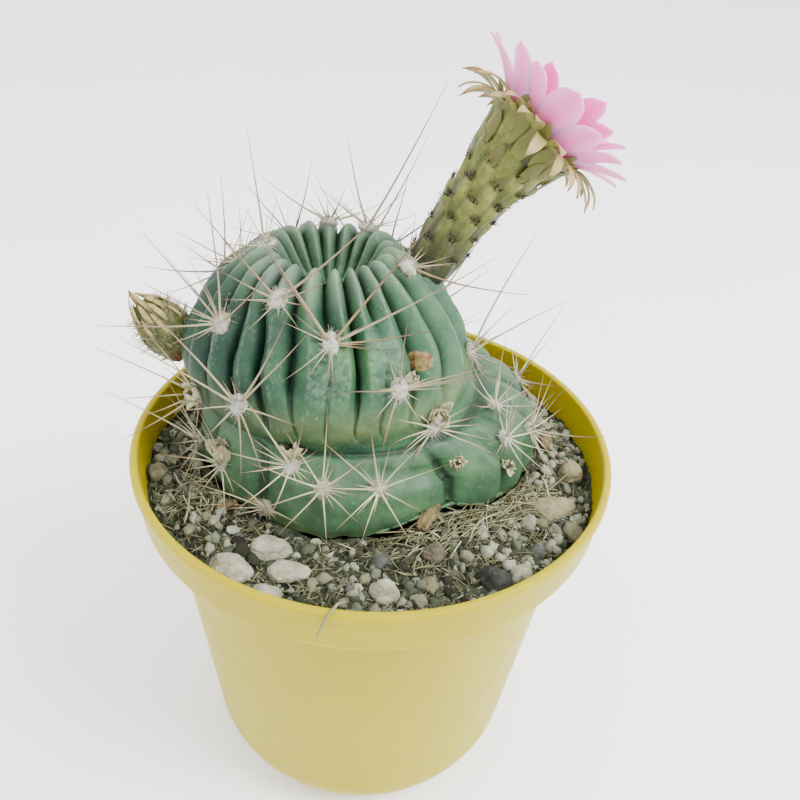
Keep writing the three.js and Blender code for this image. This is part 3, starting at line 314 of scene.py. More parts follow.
class Paint:
    """A node material under construction. Its softness is the share and the depth in mm of light let in."""

    def __init__(self, name, roughness, specular, softness=NO_SOFTNESS, **inputs):
        self.material = bpy.data.materials.new(name)
        self.material.use_nodes = True
        self.tree = self.material.node_tree
        self.shader = self.tree.nodes["Principled BSDF"]
        inputs.update(Roughness=roughness, Specular_IOR_Level=specular)
        inputs.update(Subsurface_Weight=softness[0], Subsurface_Scale=softness[1] * MM)
        for key, value in inputs.items():
            self.fill(self.shader.inputs[key.replace("_", " ")], value)
        self.place = self.add("ShaderNodeTexCoord").outputs["Object"]

    def fill(self, socket, value):
        """Sets a socket to a number, a colour, a node's output or, by its name, one of the mesh's values."""
        if isinstance(value, str) and not value.startswith("#"):
            value = self.add("ShaderNodeAttribute", attribute_name=value).outputs["Fac"]
        if isinstance(value, bpy.types.NodeSocket):
            self.tree.links.new(value, socket)
        else:
            socket.default_value = linear(value) if isinstance(value, str) else value

    def add(self, kind, inputs=None, **settings):
        node = self.tree.nodes.new(kind)
        for key, value in settings.items():
            setattr(node, key, value)
        for key, value in (inputs or {}).items():
            self.fill(node.inputs[key], value)
        return node

    def noise(self, size, detail=4.0, roughness=0.55, stretch=None):
        place = self.place
        if stretch:
            place = self.add("ShaderNodeMapping", {"Vector": place, "Scale": stretch}).outputs["Vector"]
        inputs = {"Vector": place, "Scale": 1.0 / (size * MM), "Detail": detail, "Roughness": roughness}
        return self.add("ShaderNodeTexNoise", inputs).outputs["Fac"]

    def cells(self, size):
        inputs = {"Vector": self.place, "Scale": 1.0 / (size * MM)}
        return self.add("ShaderNodeTexVoronoi", inputs).outputs["Distance"]

    def ramp(self, share, stops):
        """The colours or numbers at the stops, along a texture or a value."""
        ramp = self.add("ShaderNodeValToRGB", {"Fac": share})
        elements = ramp.color_ramp.elements
        while len(elements) < len(stops):
            elements.new(0.5)
        for element, (position, color) in zip(elements, stops.items()):
            element.position = position
            element.color = linear(color) if isinstance(color, str) else (color, color, color, 1.0)
        return ramp.outputs["Color"]

    def times(self, first, *others):
        for other in others:
            first = self.add("ShaderNodeMath", {0: first, 1: other}, operation="MULTIPLY").outputs[0]
        return first

    def mix(self, share, under, over, blend="MIX"):
        inputs = {0: share, 6: under, 7: over}
        return self.add("ShaderNodeMix", inputs, data_type="RGBA", blend_type=blend).outputs[2]

    def wash(self, under, over, texture, low, high, most=1.0):
        """One colour over another, by a share that rises with a texture."""
        return self.mix(self.ramp(texture, {low: 0.0, high: most}), under, over)

    def done(self, color, *bumps):
        """The finished material. Each bump is a texture, its height in mm and its strength."""
        self.fill(self.shader.inputs["Base Color"], color)
        for height, distance, strength in bumps:
            inputs = {"Height": height, "Distance": distance * MM, "Strength": strength}
            for link in self.shader.inputs["Normal"].links:
                inputs["Normal"] = link.from_socket
            self.fill(self.shader.inputs["Normal"], self.add("ShaderNodeBump", inputs).outputs["Normal"])
        return self.material


def skin_paint():
    """Blue-green skin with pale scurf on the crests and one corky scar, painted shade in the grooves, the
    creases, the crown's hollow and on the left, and painted light on the right and round the crown.
    """
    paint = Paint("plant_skin", 0.48, 0.25)
    mottled = paint.noise(9, 5, 0.62)
    green = paint.ramp(mottled, {0.3: "#1a4435", 0.5: "#2a583a", 0.7: "#437444"})
    green = paint.wash(green, "#5f8d68", paint.noise(1.3, 5, 0.7, stretch=(1, 1, 0.45)), 0.45, 0.75, 0.2)
    # Painted shade: dark in the grooves between ribs and tubercles, deepest in the crown's hollow
    crest = paint.ramp("crest", {0.0: 0.0, 0.42: 1.0})
    green = paint.mix(crest, "#10271e", green)
    green = paint.mix(paint.times("worn", paint.noise(5)), green, "#8b9a58")
    # Painted shade along each valley's floor and in the crease where globe and tier meet
    green = paint.wash(green, "#0c1d14", "furrow", 0.15, 0.85, 0.9)
    # Painted shade on the left of the globe and painted light on its right, the tier at one share between
    green = paint.mix(paint.ramp("side", {0.0: 0.6, 0.6: 0.0}), green, "#0f2e28")
    green = paint.wash(green, "#6fa277", "side", 0.6, 1.0, 0.22)
    # Painted light round the crown, lifting the ribs shaded in its hollow, and pale bloom on the tier
    crown_light_and_bloom = paint.times("crown_light_and_bloom", paint.ramp(mottled, {0.3: 0.6, 0.6: 1.0}))
    green = paint.mix(crown_light_and_bloom, green, "#8ca486")
    broken = paint.ramp(paint.noise(1.4, 5, 0.7), {0.4: 0.0, 0.7: 1.0})
    green = paint.mix(paint.times("edge", broken, 0.34), green, "#a6c6a4")
    specks = paint.ramp(paint.noise(0.55, 3, 0.6, stretch=(1, 1, 0.4)), {0.58: 0.0, 0.68: 1.0})
    patches = paint.ramp(paint.noise(8, 4, 0.65), {0.48: 0.0, 0.66: 1.0})
    green = paint.mix(paint.times(specks, patches, crest, 0.42), green, "#a9c0aa")
    cork = paint.ramp(paint.noise(1.6, 4, 0.6), {0.4: "#7d4030", 0.5: "#8e7c48", 0.66: "#aba872"})
    ragged = paint.times("scar", paint.ramp(paint.noise(1.8, 4, 0.6), {0.3: 0.5, 0.5: 1.0}))
    paint.fill(paint.shader.inputs["Roughness"], paint.ramp(mottled, {0.3: 0.42, 0.7: 0.6}))
    color = paint.wash(green, cork, ragged, 0.4, 0.5)
    return paint.done(color, (paint.noise(0.8, 4, 0.6), 0.12, 0.6), (paint.noise(4, 3, 0.5), 0.35, 0.5))


def spine_paint():
    paint = Paint("spine_horn", 0.42, 0.4)
    white = paint.ramp("along", {0.0: "#e6eac8", 0.45: "#d8d4aa", 0.8: "#a98c62", 1.0: "#54402c"})
    brown = paint.ramp("along", {0.0: "#b09c66", 0.3: "#8f6c46", 0.7: "#644232", 1.0: "#221714"})
    streaks = paint.noise(0.7, 4, 0.6)
    color = paint.wash(paint.mix("tone", white, brown), "#cfcda6", streaks, 0.5, 0.85, 0.35)
    return paint.done(color, (streaks, 0.05, 0.5))


def felt_paint():
    paint = Paint("areole_felt", 0.95, 0.1)
    tufts = paint.noise(0.9)
    fresh = paint.ramp(tufts, {0.3: "#a8a89a", 0.6: "#dcddcd", 0.8: "#cfcfca"})
    old = paint.ramp(tufts, {0.3: "#8b7c58", 0.6: "#bdb28a", 0.8: "#d2cca8"})
    return paint.done(paint.mix("tone", fresh, old), (paint.noise(0.3, 3), 0.15, 0.8))


def papery_paint():
    paint = Paint("dried_flower", 0.9, 0.15)
    fibres = paint.noise(1.2, 5, 0.7, stretch=(1, 1, 0.25))
    color = paint.ramp(fibres, {0.3: "#a0966a", 0.5: "#d6cfa4", 0.75: "#efeaca"})
    return paint.done(color, (fibres, 0.3, 0.8))


def tube_paint():
    paint = Paint("tube_skin", 0.5, 0.3, (0.2, 1.5))
    streaks = paint.noise(3.2, 5, 0.6)
    low = paint.ramp(streaks, {0.3: "#171f14", 0.55: "#2b351c", 0.75: "#4a552c"})
    young = paint.ramp(streaks, {0.3: "#565f1c", 0.5: "#7c8232", 0.7: "#a3a552"})
    green = paint.wash(low, young, "along", 0.1, 0.55)
    color = paint.mix(paint.ramp("ridge", {0.05: 0.7, 0.5: 0.0}), green, "#2b3312")
    return paint.done(color, (paint.noise(0.9), 0.15, 0.6))


def scale_paint():
    paint = Paint("tube_scale", 0.55, 0.3, (0.25, 1.0))
    small = paint.ramp("along", {0.0: "#6c762c", 0.4: "#565726", 0.75: "#3b3420", 1.0: "#272016"})
    large = paint.ramp("along", {0.0: "#7d8632", 0.45: "#6d6a26", 0.8: "#767233", 1.0: "#8b7f48"})
    color = paint.mix("high", small, large)
    color = paint.mix(paint.noise(1.5), color, paint.mix(0.25, color, "#a3a35c"))
    return paint.done(color, (paint.noise(0.8, 3), 0.1, 0.6))


def dark_hair_paint():
    paint = Paint("dark_wool", 0.85, 0.15)
    color = paint.ramp("along", {0.0: "#232012", 0.5: "#39331f", 1.0: "#6c6745"})
    return paint.done(color, (paint.noise(0.3, 2), 0.05, 0.5))


def petal_paint(name, base, edge, heart):
    sheen = dict(Sheen_Weight=0.25, Sheen_Roughness=0.4)
    paint = Paint(name, 0.45, 0.25, (0.35, 2.0), Transmission_Weight=0.12, **sheen)
    color = paint.wash(heart, base, "along", 0.0, 0.35)
    color = paint.wash(color, edge, "across", 0.1, 1.0, 0.75)
    color = paint.wash(color, edge, paint.noise(0.5, 3, 0.5), 0.45, 0.75, 0.25)
    # Painted light: the colour is multiplied by PETAL_LIGHT
    return paint.done(paint.mix(1.0, color, PETAL_LIGHT, "MULTIPLY"), (paint.noise(0.7, 4, 0.6), 0.12, 0.5))


def sepal_paint():
    paint = Paint("sepal_skin", 0.5, 0.25, (0.3, 1.5), Transmission_Weight=0.08)
    color = paint.ramp("along", {0.0: "#7c8630", 0.4: "#a3a552", 0.8: "#bfae72", 1.0: "#94764a"})
    color = paint.wash(color, "#cfc590", paint.noise(1.4), 0.4, 0.8, 0.4)
    return paint.done(color, (paint.noise(0.7, 3), 0.1, 0.6))


def pollen_paint():
    paint = Paint("pollen", 0.8, 0.2, (0.2, 0.8))
    tip = paint.ramp("along", {0.0: "#dfe3b0", 0.8: "#f1ecc4", 0.9: "#f0dc8c", 1.0: "#e8c860"})
    return paint.done(paint.mix(paint.noise(0.5, 3), tip, "#f7f2d8"), (paint.noise(0.3, 3), 0.08, 0.7))


def stigma_paint():
    paint = Paint("stigma_skin", 0.55, 0.3, (0.3, 1.0))
    color = paint.ramp(paint.noise(0.7, 3), {0.3: "#b9c67a", 0.7: "#dbe2a6"})
    return paint.done(color, (paint.noise(0.4, 3), 0.08, 0.6))


def bud_paint():
    paint = Paint("bud_skin", 0.6, 0.25)
    streaks = paint.noise(2.0, 5, 0.65)
    color = paint.ramp(streaks, {0.3: "#333a1c", 0.5: "#555c2c", 0.72: "#828846"})
    color = paint.mix(paint.ramp("along", {0.0: 1.0, 0.22: 0.0}), color, "#7d3a1c")
    return paint.done(color, (streaks, 0.25, 0.7))


def bud_scale_paint():
    paint = Paint("bud_scale", 0.7, 0.2)
    color = paint.ramp("along", {0.0: "#8a8448", 0.35: "#b39f5c", 0.8: "#c6a26a", 1.0: "#946a44"})
    color = paint.wash(color, "#dbcb93", paint.noise(1.2), 0.4, 0.75, 0.5)
    return paint.done(color, (paint.noise(0.6, 3), 0.12, 0.7))


def plastic_paint():
    """Thin yellow plastic that lets light through, with faint marks."""
    paint = Paint("pot_plastic", 0.4, 0.1, (0.6, 4.0), Subsurface_Radius=(1.0, 0.8, 0.05))
    paint.fill(paint.shader.inputs["Roughness"], paint.ramp(paint.noise(6, 5, 0.6), {0.35: 0.34, 0.7: 0.46}))
    color = paint.ramp(paint.noise(30, 4, 0.5), {0.35: "#c0b100", 0.65: "#c7b800"})
    return paint.done(color, (paint.noise(1.2, 4, 0.6), 0.04, 0.4))


def soil_paint():
    paint = Paint("soil_ground", 0.95, 0.1)
    coarse = paint.noise(3.5, 6, 0.7)
    color = paint.ramp(coarse, {0.3: "#1e221a", 0.5: "#3d4435", 0.68: "#69715a"})
    flecks = paint.times(paint.ramp(paint.cells(1.3), {0.0: 1.0, 0.22: 0.0}), 0.5)
    color = paint.mix(flecks, color, "#a89c86")
    return paint.done(color, (coarse, 1.2, 0.9), (paint.noise(0.7, 4, 0.7), 0.4, 0.8))


def crumb_paint():
    paint = Paint("soil_crumb", 0.95, 0.1)
    stops = {0.0: "#1f221b", 0.35: "#404838", 0.65: "#6b735c", 0.85: "#929880", 1.0: "#bcbfa6"}
    color = paint.ramp("tone", stops)
    color = paint.wash(color, "#3d342b", paint.noise(0.8, 5, 0.7), 0.35, 0.75, 0.6)
    return paint.done(color, (paint.noise(0.6, 4, 0.7), 0.3, 0.9))


def fibre_paint():
    paint = Paint("soil_fibre", 0.85, 0.15)
    color = paint.ramp("tone", {0.0: "#403e2c", 0.4: "#747353", 0.75: "#aaa981", 1.0: "#dad8b4"})
    color = paint.wash(color, "#5a4a33", paint.noise(1.5), 0.4, 0.8, 0.4)
    return paint.done(color, (paint.noise(0.4, 3), 0.05, 0.6))


def bark_paint():
    paint = Paint("bark", 0.9, 0.15)
    grain = paint.noise(1.2, 5, 0.65, stretch=(1, 0.35, 1))
    return paint.done(paint.ramp(grain, {0.3: "#433a26", 0.5: "#7c6c48", 0.72: "#9f9068"}), (grain, 0.3, 0.8))


def stone_paint(name, dark, pale, spots):
    paint = Paint(name, 0.85, 0.2)
    cloud = paint.noise(3.0, 6, 0.65)
    pits = paint.ramp(paint.cells(1.1), {0.0: 1.0, 0.18: 0.0})
    stained = paint.ramp(paint.noise(1.6, 4, 0.6), {0.55: 0.0, 0.75: 1.0})
    color = paint.mix(paint.times(pits, stained, 0.7), paint.ramp(cloud, {0.3: dark, 0.62: pale}), spots)
    return paint.done(color, (cloud, 0.4, 0.8), (paint.noise(0.45, 4, 0.7), 0.15, 0.8))


def floor_paint():
    paint = Paint("floor_white", 0.75, 0.2)
    return paint.done(paint.ramp(paint.noise(60, 2, 0.4), {0.3: 0.93, 0.7: 0.95}))


# The body as a surface over a level and a bearing in degrees


def seeded(seed):
    """The seeded source of the solids, so that the ribs at the back fall in the same places."""
    state = seed & 0xFFFFFFFF

    def draw():
        nonlocal state
        state = (state + 0x6D2B79F5) & 0xFFFFFFFF
        mixed = ((state ^ (state >> 15)) * (state | 1)) & 0xFFFFFFFF
        mixed ^= (mixed + ((mixed ^ (mixed >> 7)) * (mixed | 61))) & 0xFFFFFFFF
        return ((mixed ^ (mixed >> 14)) & 0xFFFFFFFF) / 4294967296

    return draw


def body_level(level):
    """A row of the table between its rows, on a smooth curve through them."""
    index = np.clip(np.floor(level).astype(int), 0, LAST_LEVEL - 1)
    t = level - index
    before, start, end, after = BODY_LEVELS[np.clip(index + np.arange(-1, 3), 0, LAST_LEVEL)]
    slope_in = (end - before) / 2
    slope_out = (after - start) / 2
    cubic = 2 * start - 2 * end + slope_in + slope_out
    square = 3 * end - 3 * start - 2 * slope_in - slope_out
    return ((cubic * t + square) * t + slope_in) * t + start


def behind(first, last, count):
    """Bearings spread evenly round the back, between the last mark in front and the first."""
    return last + (first + 360 - last) * np.arange(1, count + 1) / (count + 1)


def all_ribs():
    """Every rib's bearing at the crown, shoulder and waist, and the level where its valley ends."""
    ribs = list(FRONT_RIBS)
    wander = seeded(7)
    for bearing in behind(ribs[0][1], ribs[-1][1], REAR_RIBS):
        crown = bearing + (wander() - 0.5) * 5
        waist = bearing + (wander() - 0.5) * 5
        ribs.append((crown, bearing, waist, VALLEY_END))
    return np.array(ribs, float)


def all_tubercles():
    """The bearing of every tubercle's middle, and the share of the full depth of the valley after it."""
    rear = [(bearing, 1) for bearing in behind(FRONT_TUBERCLES[0][0], FRONT_TUBERCLES[-1][0], REAR_TUBERCLES)]
    return np.array(FRONT_TUBERCLES + rear, float).T


RIBS = all_ribs()
TUBERCLES, TUBERCLE_DEPTHS = all_tubercles()
HALVINGS = 30
SLOPE_STEP, SPREAD_STEP = 0.05, 0.3
# Depths from which a rib and a tubercle count in full for the skin's colours
FULL_RIB, FULL_SWELL = 3.0, 3.0


def crest_bearings(level):
    """The bearing of every rib's crest at a level."""
    crown, shoulder, waist, _ = RIBS.T
    upper = smooth((level - CROWN_LEVEL) / (SHOULDER_LEVEL - CROWN_LEVEL))
    lower = smooth((level - SHOULDER_LEVEL) / (WAIST_LEVEL - SHOULDER_LEVEL))
    return crown + (shoulder - crown) * upper + (waist - shoulder) * lower


def share_between(bearings, marks):
    """How far each bearing is from the nearest mark, 0 to 1 half-way to the next, and the mark before."""
    ring = np.append(marks, marks[0] + 360)
    wrapped = (bearings - marks[0]) % 360 + marks[0]
    index = np.clip(np.searchsorted(ring, wrapped, side="right") - 1, 0, len(marks) - 1)
    share = (wrapped - ring[index]) / (ring[index + 1] - ring[index])
    return np.where(share < 0.5, share * 2, (1 - share) * 2), index


def groove(across):
    rounded = 1 - np.sqrt(np.maximum(0, 1 - across * across))
    return ROUND_CREST * rounded + (1 - ROUND_CREST) * across ** CREST_POWER


def body_ring(bearings, level):
    """Points of the body at one level, and how near each is to a crest."""
    height, radius, axis_x, axis_y, rib_depth, swell = body_level(level)
    above, below = body_level(max(level - SLOPE_STEP, 0)), body_level(min(level + SLOPE_STEP, LAST_LEVEL))
    run, drop = below[1] - above[1], above[0] - below[0]
    slope = math.hypot(run, drop)
    hollow = HOLLOW_DEPTH * bell(bearings - HOLLOW_BEARING, HOLLOW_HALF_WIDTH)
    hollow = hollow * smooth((level - HOLLOW_LEVEL) / HOLLOW_SPREAD)
    across, rib = share_between(bearings, crest_bearings(level))
    valley = 1 - smooth((level - RIBS[rib, 3] + VALLEY_FADE) / VALLEY_FADE)
    bump, tubercle = share_between(bearings, TUBERCLES)
    depth = TUBERCLE_DEPTHS[tubercle]
    relief = -hollow - swell * depth * groove(bump) - rib_depth * valley * groove(across)
    reach = radius + relief * (drop / slope)
    points = circle(reach, height + relief * (run / slope), np.radians(bearings))
    points = points * [1, BODY_OVAL, 1] + [axis_x, axis_y, 0]
    off_rib = across * valley * min(1.0, rib_depth / FULL_RIB)
    off_tubercle = bump * depth * min(1.0, swell / FULL_SWELL) * 0.7
    return points, 1 - np.maximum(off_rib, off_tubercle)


def level_at(height):
    """The level below the crown that is at a height, found by halving."""
    above, below = float(CROWN_LEVEL), float(LAST_LEVEL)
    for _ in range(HALVINGS):
        half = (above + below) / 2
        if body_level(half)[0] > height:
            above = half
        else:
            below = half
    return above


# Areoles and spines, read from the solids, so that each one grows where its solid does

BODY_SOLID = skin_tree(NODES["cactus_body"].data)
SPINE_FOOT_WIDTH, SPINE_LEAST_LENGTH = 0.8, 2.2
PAD_FOOT_REACH = 0.45


def spine_marks(node):
    """The tip and the middle of each spine of an areole's solid, and the points of its pad's foot.

    A spine's tip is a corner with three edges, a narrow triangle at their other ends and some way between.
    """
    solid = bmesh.new()
    solid.from_mesh(NODES[node].data)
    bmesh.ops.remove_doubles(solid, verts=solid.verts, dist=1e-6)
    marks = []
    for vertex in solid.verts:
        around = [edge.other_vert(vertex).co / MM for edge in vertex.link_edges]
        if len(around) != 3:
            continue
        centre = (around[0] + around[1] + around[2]) / 3
        width = max((p - centre).length for p in around)
        reach = (vertex.co / MM - centre).length
        if width < SPINE_FOOT_WIDTH and reach > SPINE_LEAST_LENGTH:
            marks.append((np.array(vertex.co / MM), np.array(centre)))
    foot = []
    for vertex in solid.verts:
        if BODY_SOLID.find_nearest(vertex.co / MM)[3] < PAD_FOOT_REACH:
            foot.append(np.array(vertex.co / MM))
    solid.free()
    return marks, np.array(foot)


def seen_at(tree, pixel_x, pixel_y):
    """Where the sight line through a pixel meets the plant, in mm, and the normal there.

    A line that misses the plant is moved towards the middle of the picture until it meets it.
    """
    forward, right = unit(CAMERA_FORWARD), np.array(CAMERA_RIGHT)
    above = np.cross(right, forward)
    shift = np.array([pixel_x - PICTURE_SIZE / 2, PICTURE_SIZE / 2 - pixel_y]) / PICTURE_SIZE
    for _ in range(SIGHT_TRIES):
        found = tree.ray_cast(Vector(CAMERA_PLACE), Vector(forward + right * shift[0] + above * shift[1]))
        if found[0]:
            return np.array(found[0]), np.array(found[1])
        shift = shift * SIGHT_STEP
    raise ValueError("no plant near that pixel")


def areole_frame(foot):
    """The middle of an areole on the skin, with its outward, crownward and sideways directions."""
    centre = foot.mean(axis=0)
    level = level_at(centre[2])
    axis = body_level(level)
    bearing = math.atan2((centre[1] - axis[3]) / BODY_OVAL, centre[0] - axis[2])
    above, below = body_level(level - SPREAD_STEP), body_level(level + SPREAD_STEP)
    outward = unit(circle(above[0] - below[0], below[1] - above[1], bearing))
    crownward = np.array([0.0, 0.0, 1.0]) - outward * outward[2]
    crownward = unit(crownward) if np.linalg.norm(crownward) > 0.1 else unit([-outward[0], -outward[1], 0.1])
    return centre, outward, crownward, np.cross(crownward, outward)


def all_areoles():
    areoles = {}
    for name in sorted(NODES):
        if name.startswith("areole_"):
            marks, foot = spine_marks(name)
            areoles[name] = (marks, areole_frame(foot))
    return areoles


SCAR_PLACE = seen_at(BODY_SOLID, *SCAR_PIXEL)[0]
AREOLES = all_areoles()


# The plant's skin

RIB_STEPS = 20
LEVEL_STEPS = 8.5
FIRST_RING, LAST_RING = 0.12, LAST_LEVEL - 0.1
# The power by which the columns crowd towards the valleys
COLUMN_EASING = 0.8
# Each areole's mound and the dip above it: distance from its middle, height and reach
MOUND_BELOW, MOUND_HEIGHT, MOUND_REACH = 2.2, 0.9, 3.2
DIP_ABOVE, DIP_DEPTH, DIP_REACH = 2.6, 0.7, 2.24
CREASE_LEVEL, CREASE_FADE = 11.1, 0.8
FURROW_DEPTH = 0.9
# How near a crest its pale edge starts, over what span it grows, and the ribs' depth that has it in full
EDGE_START, EDGE_SPAN, EDGE_RIB = 0.955, 0.04, 5.0
# Painted light round the crown, on the ribs shaded in its hollow, at a level and over a spread, and the share
# of pale bloom on the tier
CROWN_LIGHT, CROWN_LIGHT_LEVEL, CROWN_LIGHT_SPREAD, TIER_BLOOM = 0.85, 2.5, 1.2, 0.12
# Worn skin in a band round the front of the globe's foot: its share, height, reach and last y
WEAR, WEAR_HEIGHT, WEAR_REACH, WEAR_BACK = 0.75, 124, 7, 20
# The globe's skin goes from painted shade to painted light between these two x, and the tier's is at this
# share between them
SHADED_X, SUNNED_X = -42, 24
TIER_SIDE = 0.8
# The faint old ribs that still show on the tier
TIER_LEVEL, OLD_RIBS, OLD_RIB_RELIEF = 14, 29, 0.3


def areole_relief(points):
    """A low mound under each areole and a dip above it."""
    relief = np.zeros(len(points))
    for _, (centre, _, crownward, _) in AREOLES.values():
        mound = np.linalg.norm(points - (centre - crownward * MOUND_BELOW), axis=1)
        dip = np.linalg.norm(points - (centre + crownward * DIP_ABOVE), axis=1)
        relief += MOUND_HEIGHT * bell(mound, MOUND_REACH) - DIP_DEPTH * bell(dip, DIP_REACH)
    return relief


def furrow_ring(bearings, level):
    """Where the skin is creased at one level: along each valley's floor and where globe and tier meet. The
    crease is sunk into the skin and darkened with painted shade.
    """
    between_ribs, _ = share_between(bearings, crest_bearings(level))
    between_bumps, tubercle = share_between(bearings, TUBERCLES)
    rib_line = bell(1 - between_ribs, 0.13) * smooth(level - 5.5) * smooth(VALLEY_END - 0.3 - level)
    bump_line = bell(1 - between_bumps, 0.11) * min(1.0, body_level(level)[5] / 2.4)
    bump_line = bump_line * TUBERCLE_DEPTHS[tubercle] ** 2
    return np.clip(np.maximum(np.maximum(rib_line * 0.7, bump_line), bell(level - CREASE_LEVEL, 0.2)), 0, 1)


def make_body():
    levels = np.linspace(FIRST_RING, LAST_RING, int(LAST_LEVEL * LEVEL_STEPS))
    columns = len(RIBS) * RIB_STEPS
    share = np.arange(columns) / RIB_STEPS
    rib = share.astype(int)
    part = share - rib
    eased = (1 - np.abs(1 - 2 * part)) ** COLUMN_EASING / 2
    eased = np.where(part < 0.5, eased, 1 - eased)
    rings, crests, edges, furrows = [], [], [], []
    for level in levels:
        crest = crest_bearings(level)
        ring = np.append(crest, crest[0] + 360)
        bearings = (ring[rib] + (ring[rib + 1] - ring[rib]) * eased + 180) % 360 - 180
        points, near = body_ring(bearings, level)
        rings.append(points)
        crests.append(near)
        edges.append(smooth((near - EDGE_START) / EDGE_SPAN) * min(1.0, body_level(level)[4] / EDGE_RIB) ** 4)
        furrows.append(furrow_ring(bearings, level))
    rings = np.array(rings)
    crest, furrow = np.ravel(crests), np.ravel(furrows)

    def each(numbers):
        """A number for each level, for every point of its ring and then for the two ends."""
        return np.concatenate([np.repeat(numbers, columns), numbers[[0, -1]]])

    points = rings.reshape(-1, 3)
    _, _, tier_x, tier_y, _, _ = body_level(TIER_LEVEL)
    bearings = np.arctan2(points[:, 1] - tier_y, points[:, 0] - tier_x)
    old_ribs = np.cos(bearings * OLD_RIBS) * each(smooth((levels - CREASE_LEVEL - 0.3) / CREASE_FADE))[:-2]
    lumps = 0.35 * fractal(points, 9.0, 2, 1.0) + 0.12 * fractal(points, 2.5, 2, 2.0)
    lumps = lumps + OLD_RIB_RELIEF * old_ribs
    relief = areole_relief(points) * (crest > 0.2) + lumps * (0.3 + 0.7 * crest) - FURROW_DEPTH * furrow
    round_way = np.roll(rings, -1, axis=1) - np.roll(rings, 1, axis=1)
    normals = unit(np.cross(np.gradient(rings, axis=0), round_way) + 1e-9)
    ends = [body_ring(np.zeros(1), level)[0][0] for level in (0.0, float(LAST_LEVEL))]
    points, faces = capped(rings + normals * relief.reshape(len(levels), columns, 1), *ends)
    x, y, height = points.T
    worn = smooth((SOIL_HEIGHT + 5 - height) / 8) + 0.12 * smooth((117 - height) / 3)
    worn = worn + WEAR * smooth(1 - np.abs(height - WEAR_HEIGHT) / WEAR_REACH) * (y < WEAR_BACK)
    # Painted light round the crown, and pale bloom on the tier
    crown_light_and_bloom = CROWN_LIGHT * bell(levels - CROWN_LIGHT_LEVEL, CROWN_LIGHT_SPREAD)
    crown_light_and_bloom = crown_light_and_bloom + TIER_BLOOM * smooth((levels - CREASE_LEVEL) / CREASE_FADE)
    tier = each(smooth((levels - 10) / 1.2))
    crest = np.append(crest, [0, 0])
    values = {
        # How near a crest: sets the painted shade in the grooves, deepest in the crown's hollow, and the
        # scurf on the crests
        "crest": crest * each(0.5 + 0.5 * smooth(levels - 0.5)),
        "edge": np.append(np.ravel(edges), [0, 0]),
        # Where the creases are sunk and darkened with painted shade
        "furrow": np.append(furrow, [0, 0]),
        "worn": np.clip(worn, 0, 1),
        "scar": np.exp(-((points - SCAR_PLACE) ** 2 / np.array(SCAR_REACH) ** 2).sum(axis=1)),
        "crown_light_and_bloom": each(crown_light_and_bloom) * crest,
        # Painted shade on the globe's left and painted light on its right, and the tier at one share between
        "side": smooth((x - SHADED_X) / (SUNNED_X - SHADED_X)) * (1 - tier) + TIER_SIDE * tier,
    }
    return mesh_piece("cactus_skin", points, faces, skin_paint(), "cactus_body", values)


SKIN_TREE = skin_tree(make_body().data)


# Spines and felt

SPINE_STEPS = 11
SPINE_SIDES = 7
SPINE_RADIUS, SPINE_RADIUS_GROWTH = 0.14, 0.004
SPINE_WAVE = 0.006
FINE_SPINES, FINE_SPINE_TRIES = 7, 40
FINE_LEAN, FINE_LENGTH, FINE_RADIUS = (55, 82), (5, 12), 0.15
SPINE_ROOM = 0.35
FELT_HAIRS = 150
FELT_SHAPE = np.array([0.92, 1.2, 0.62])
FELT_ROOTS = np.array([0.86, 1.1, 0.58])
GLOBE_FELT, TIER_FELT = 2.3, 2.0
TIER_TOP, AGED_BELOW = 116, 112


def curve_through(root, middle, tip):
    """Points on the one parabola through three marks."""
    share = np.linspace(0, 1, SPINE_STEPS)[:, None]
    return root + (4 * middle - 3 * root - tip) * share + (2 * (root + tip) - 4 * middle) * share * share


def is_clear(path):
    """Whether a spine, past its root, stays out of the skin, the soil and the pot."""
    for point in path[3:]:
        near, normal, _, _ = SKIN_TREE.find_nearest(Vector(point))
        away = math.hypot(point[0], point[1])
        in_soil = point[2] < SOIL_HEIGHT + 1.5 and away < RIM_RADIUS
        in_pot = point[2] < POT_HEIGHT + 1.5 and away > RIM_RADIUS - 4
        if (Vector(point) - near).dot(normal) < SPINE_ROOM or in_soil or in_pot:
            return False
    return True


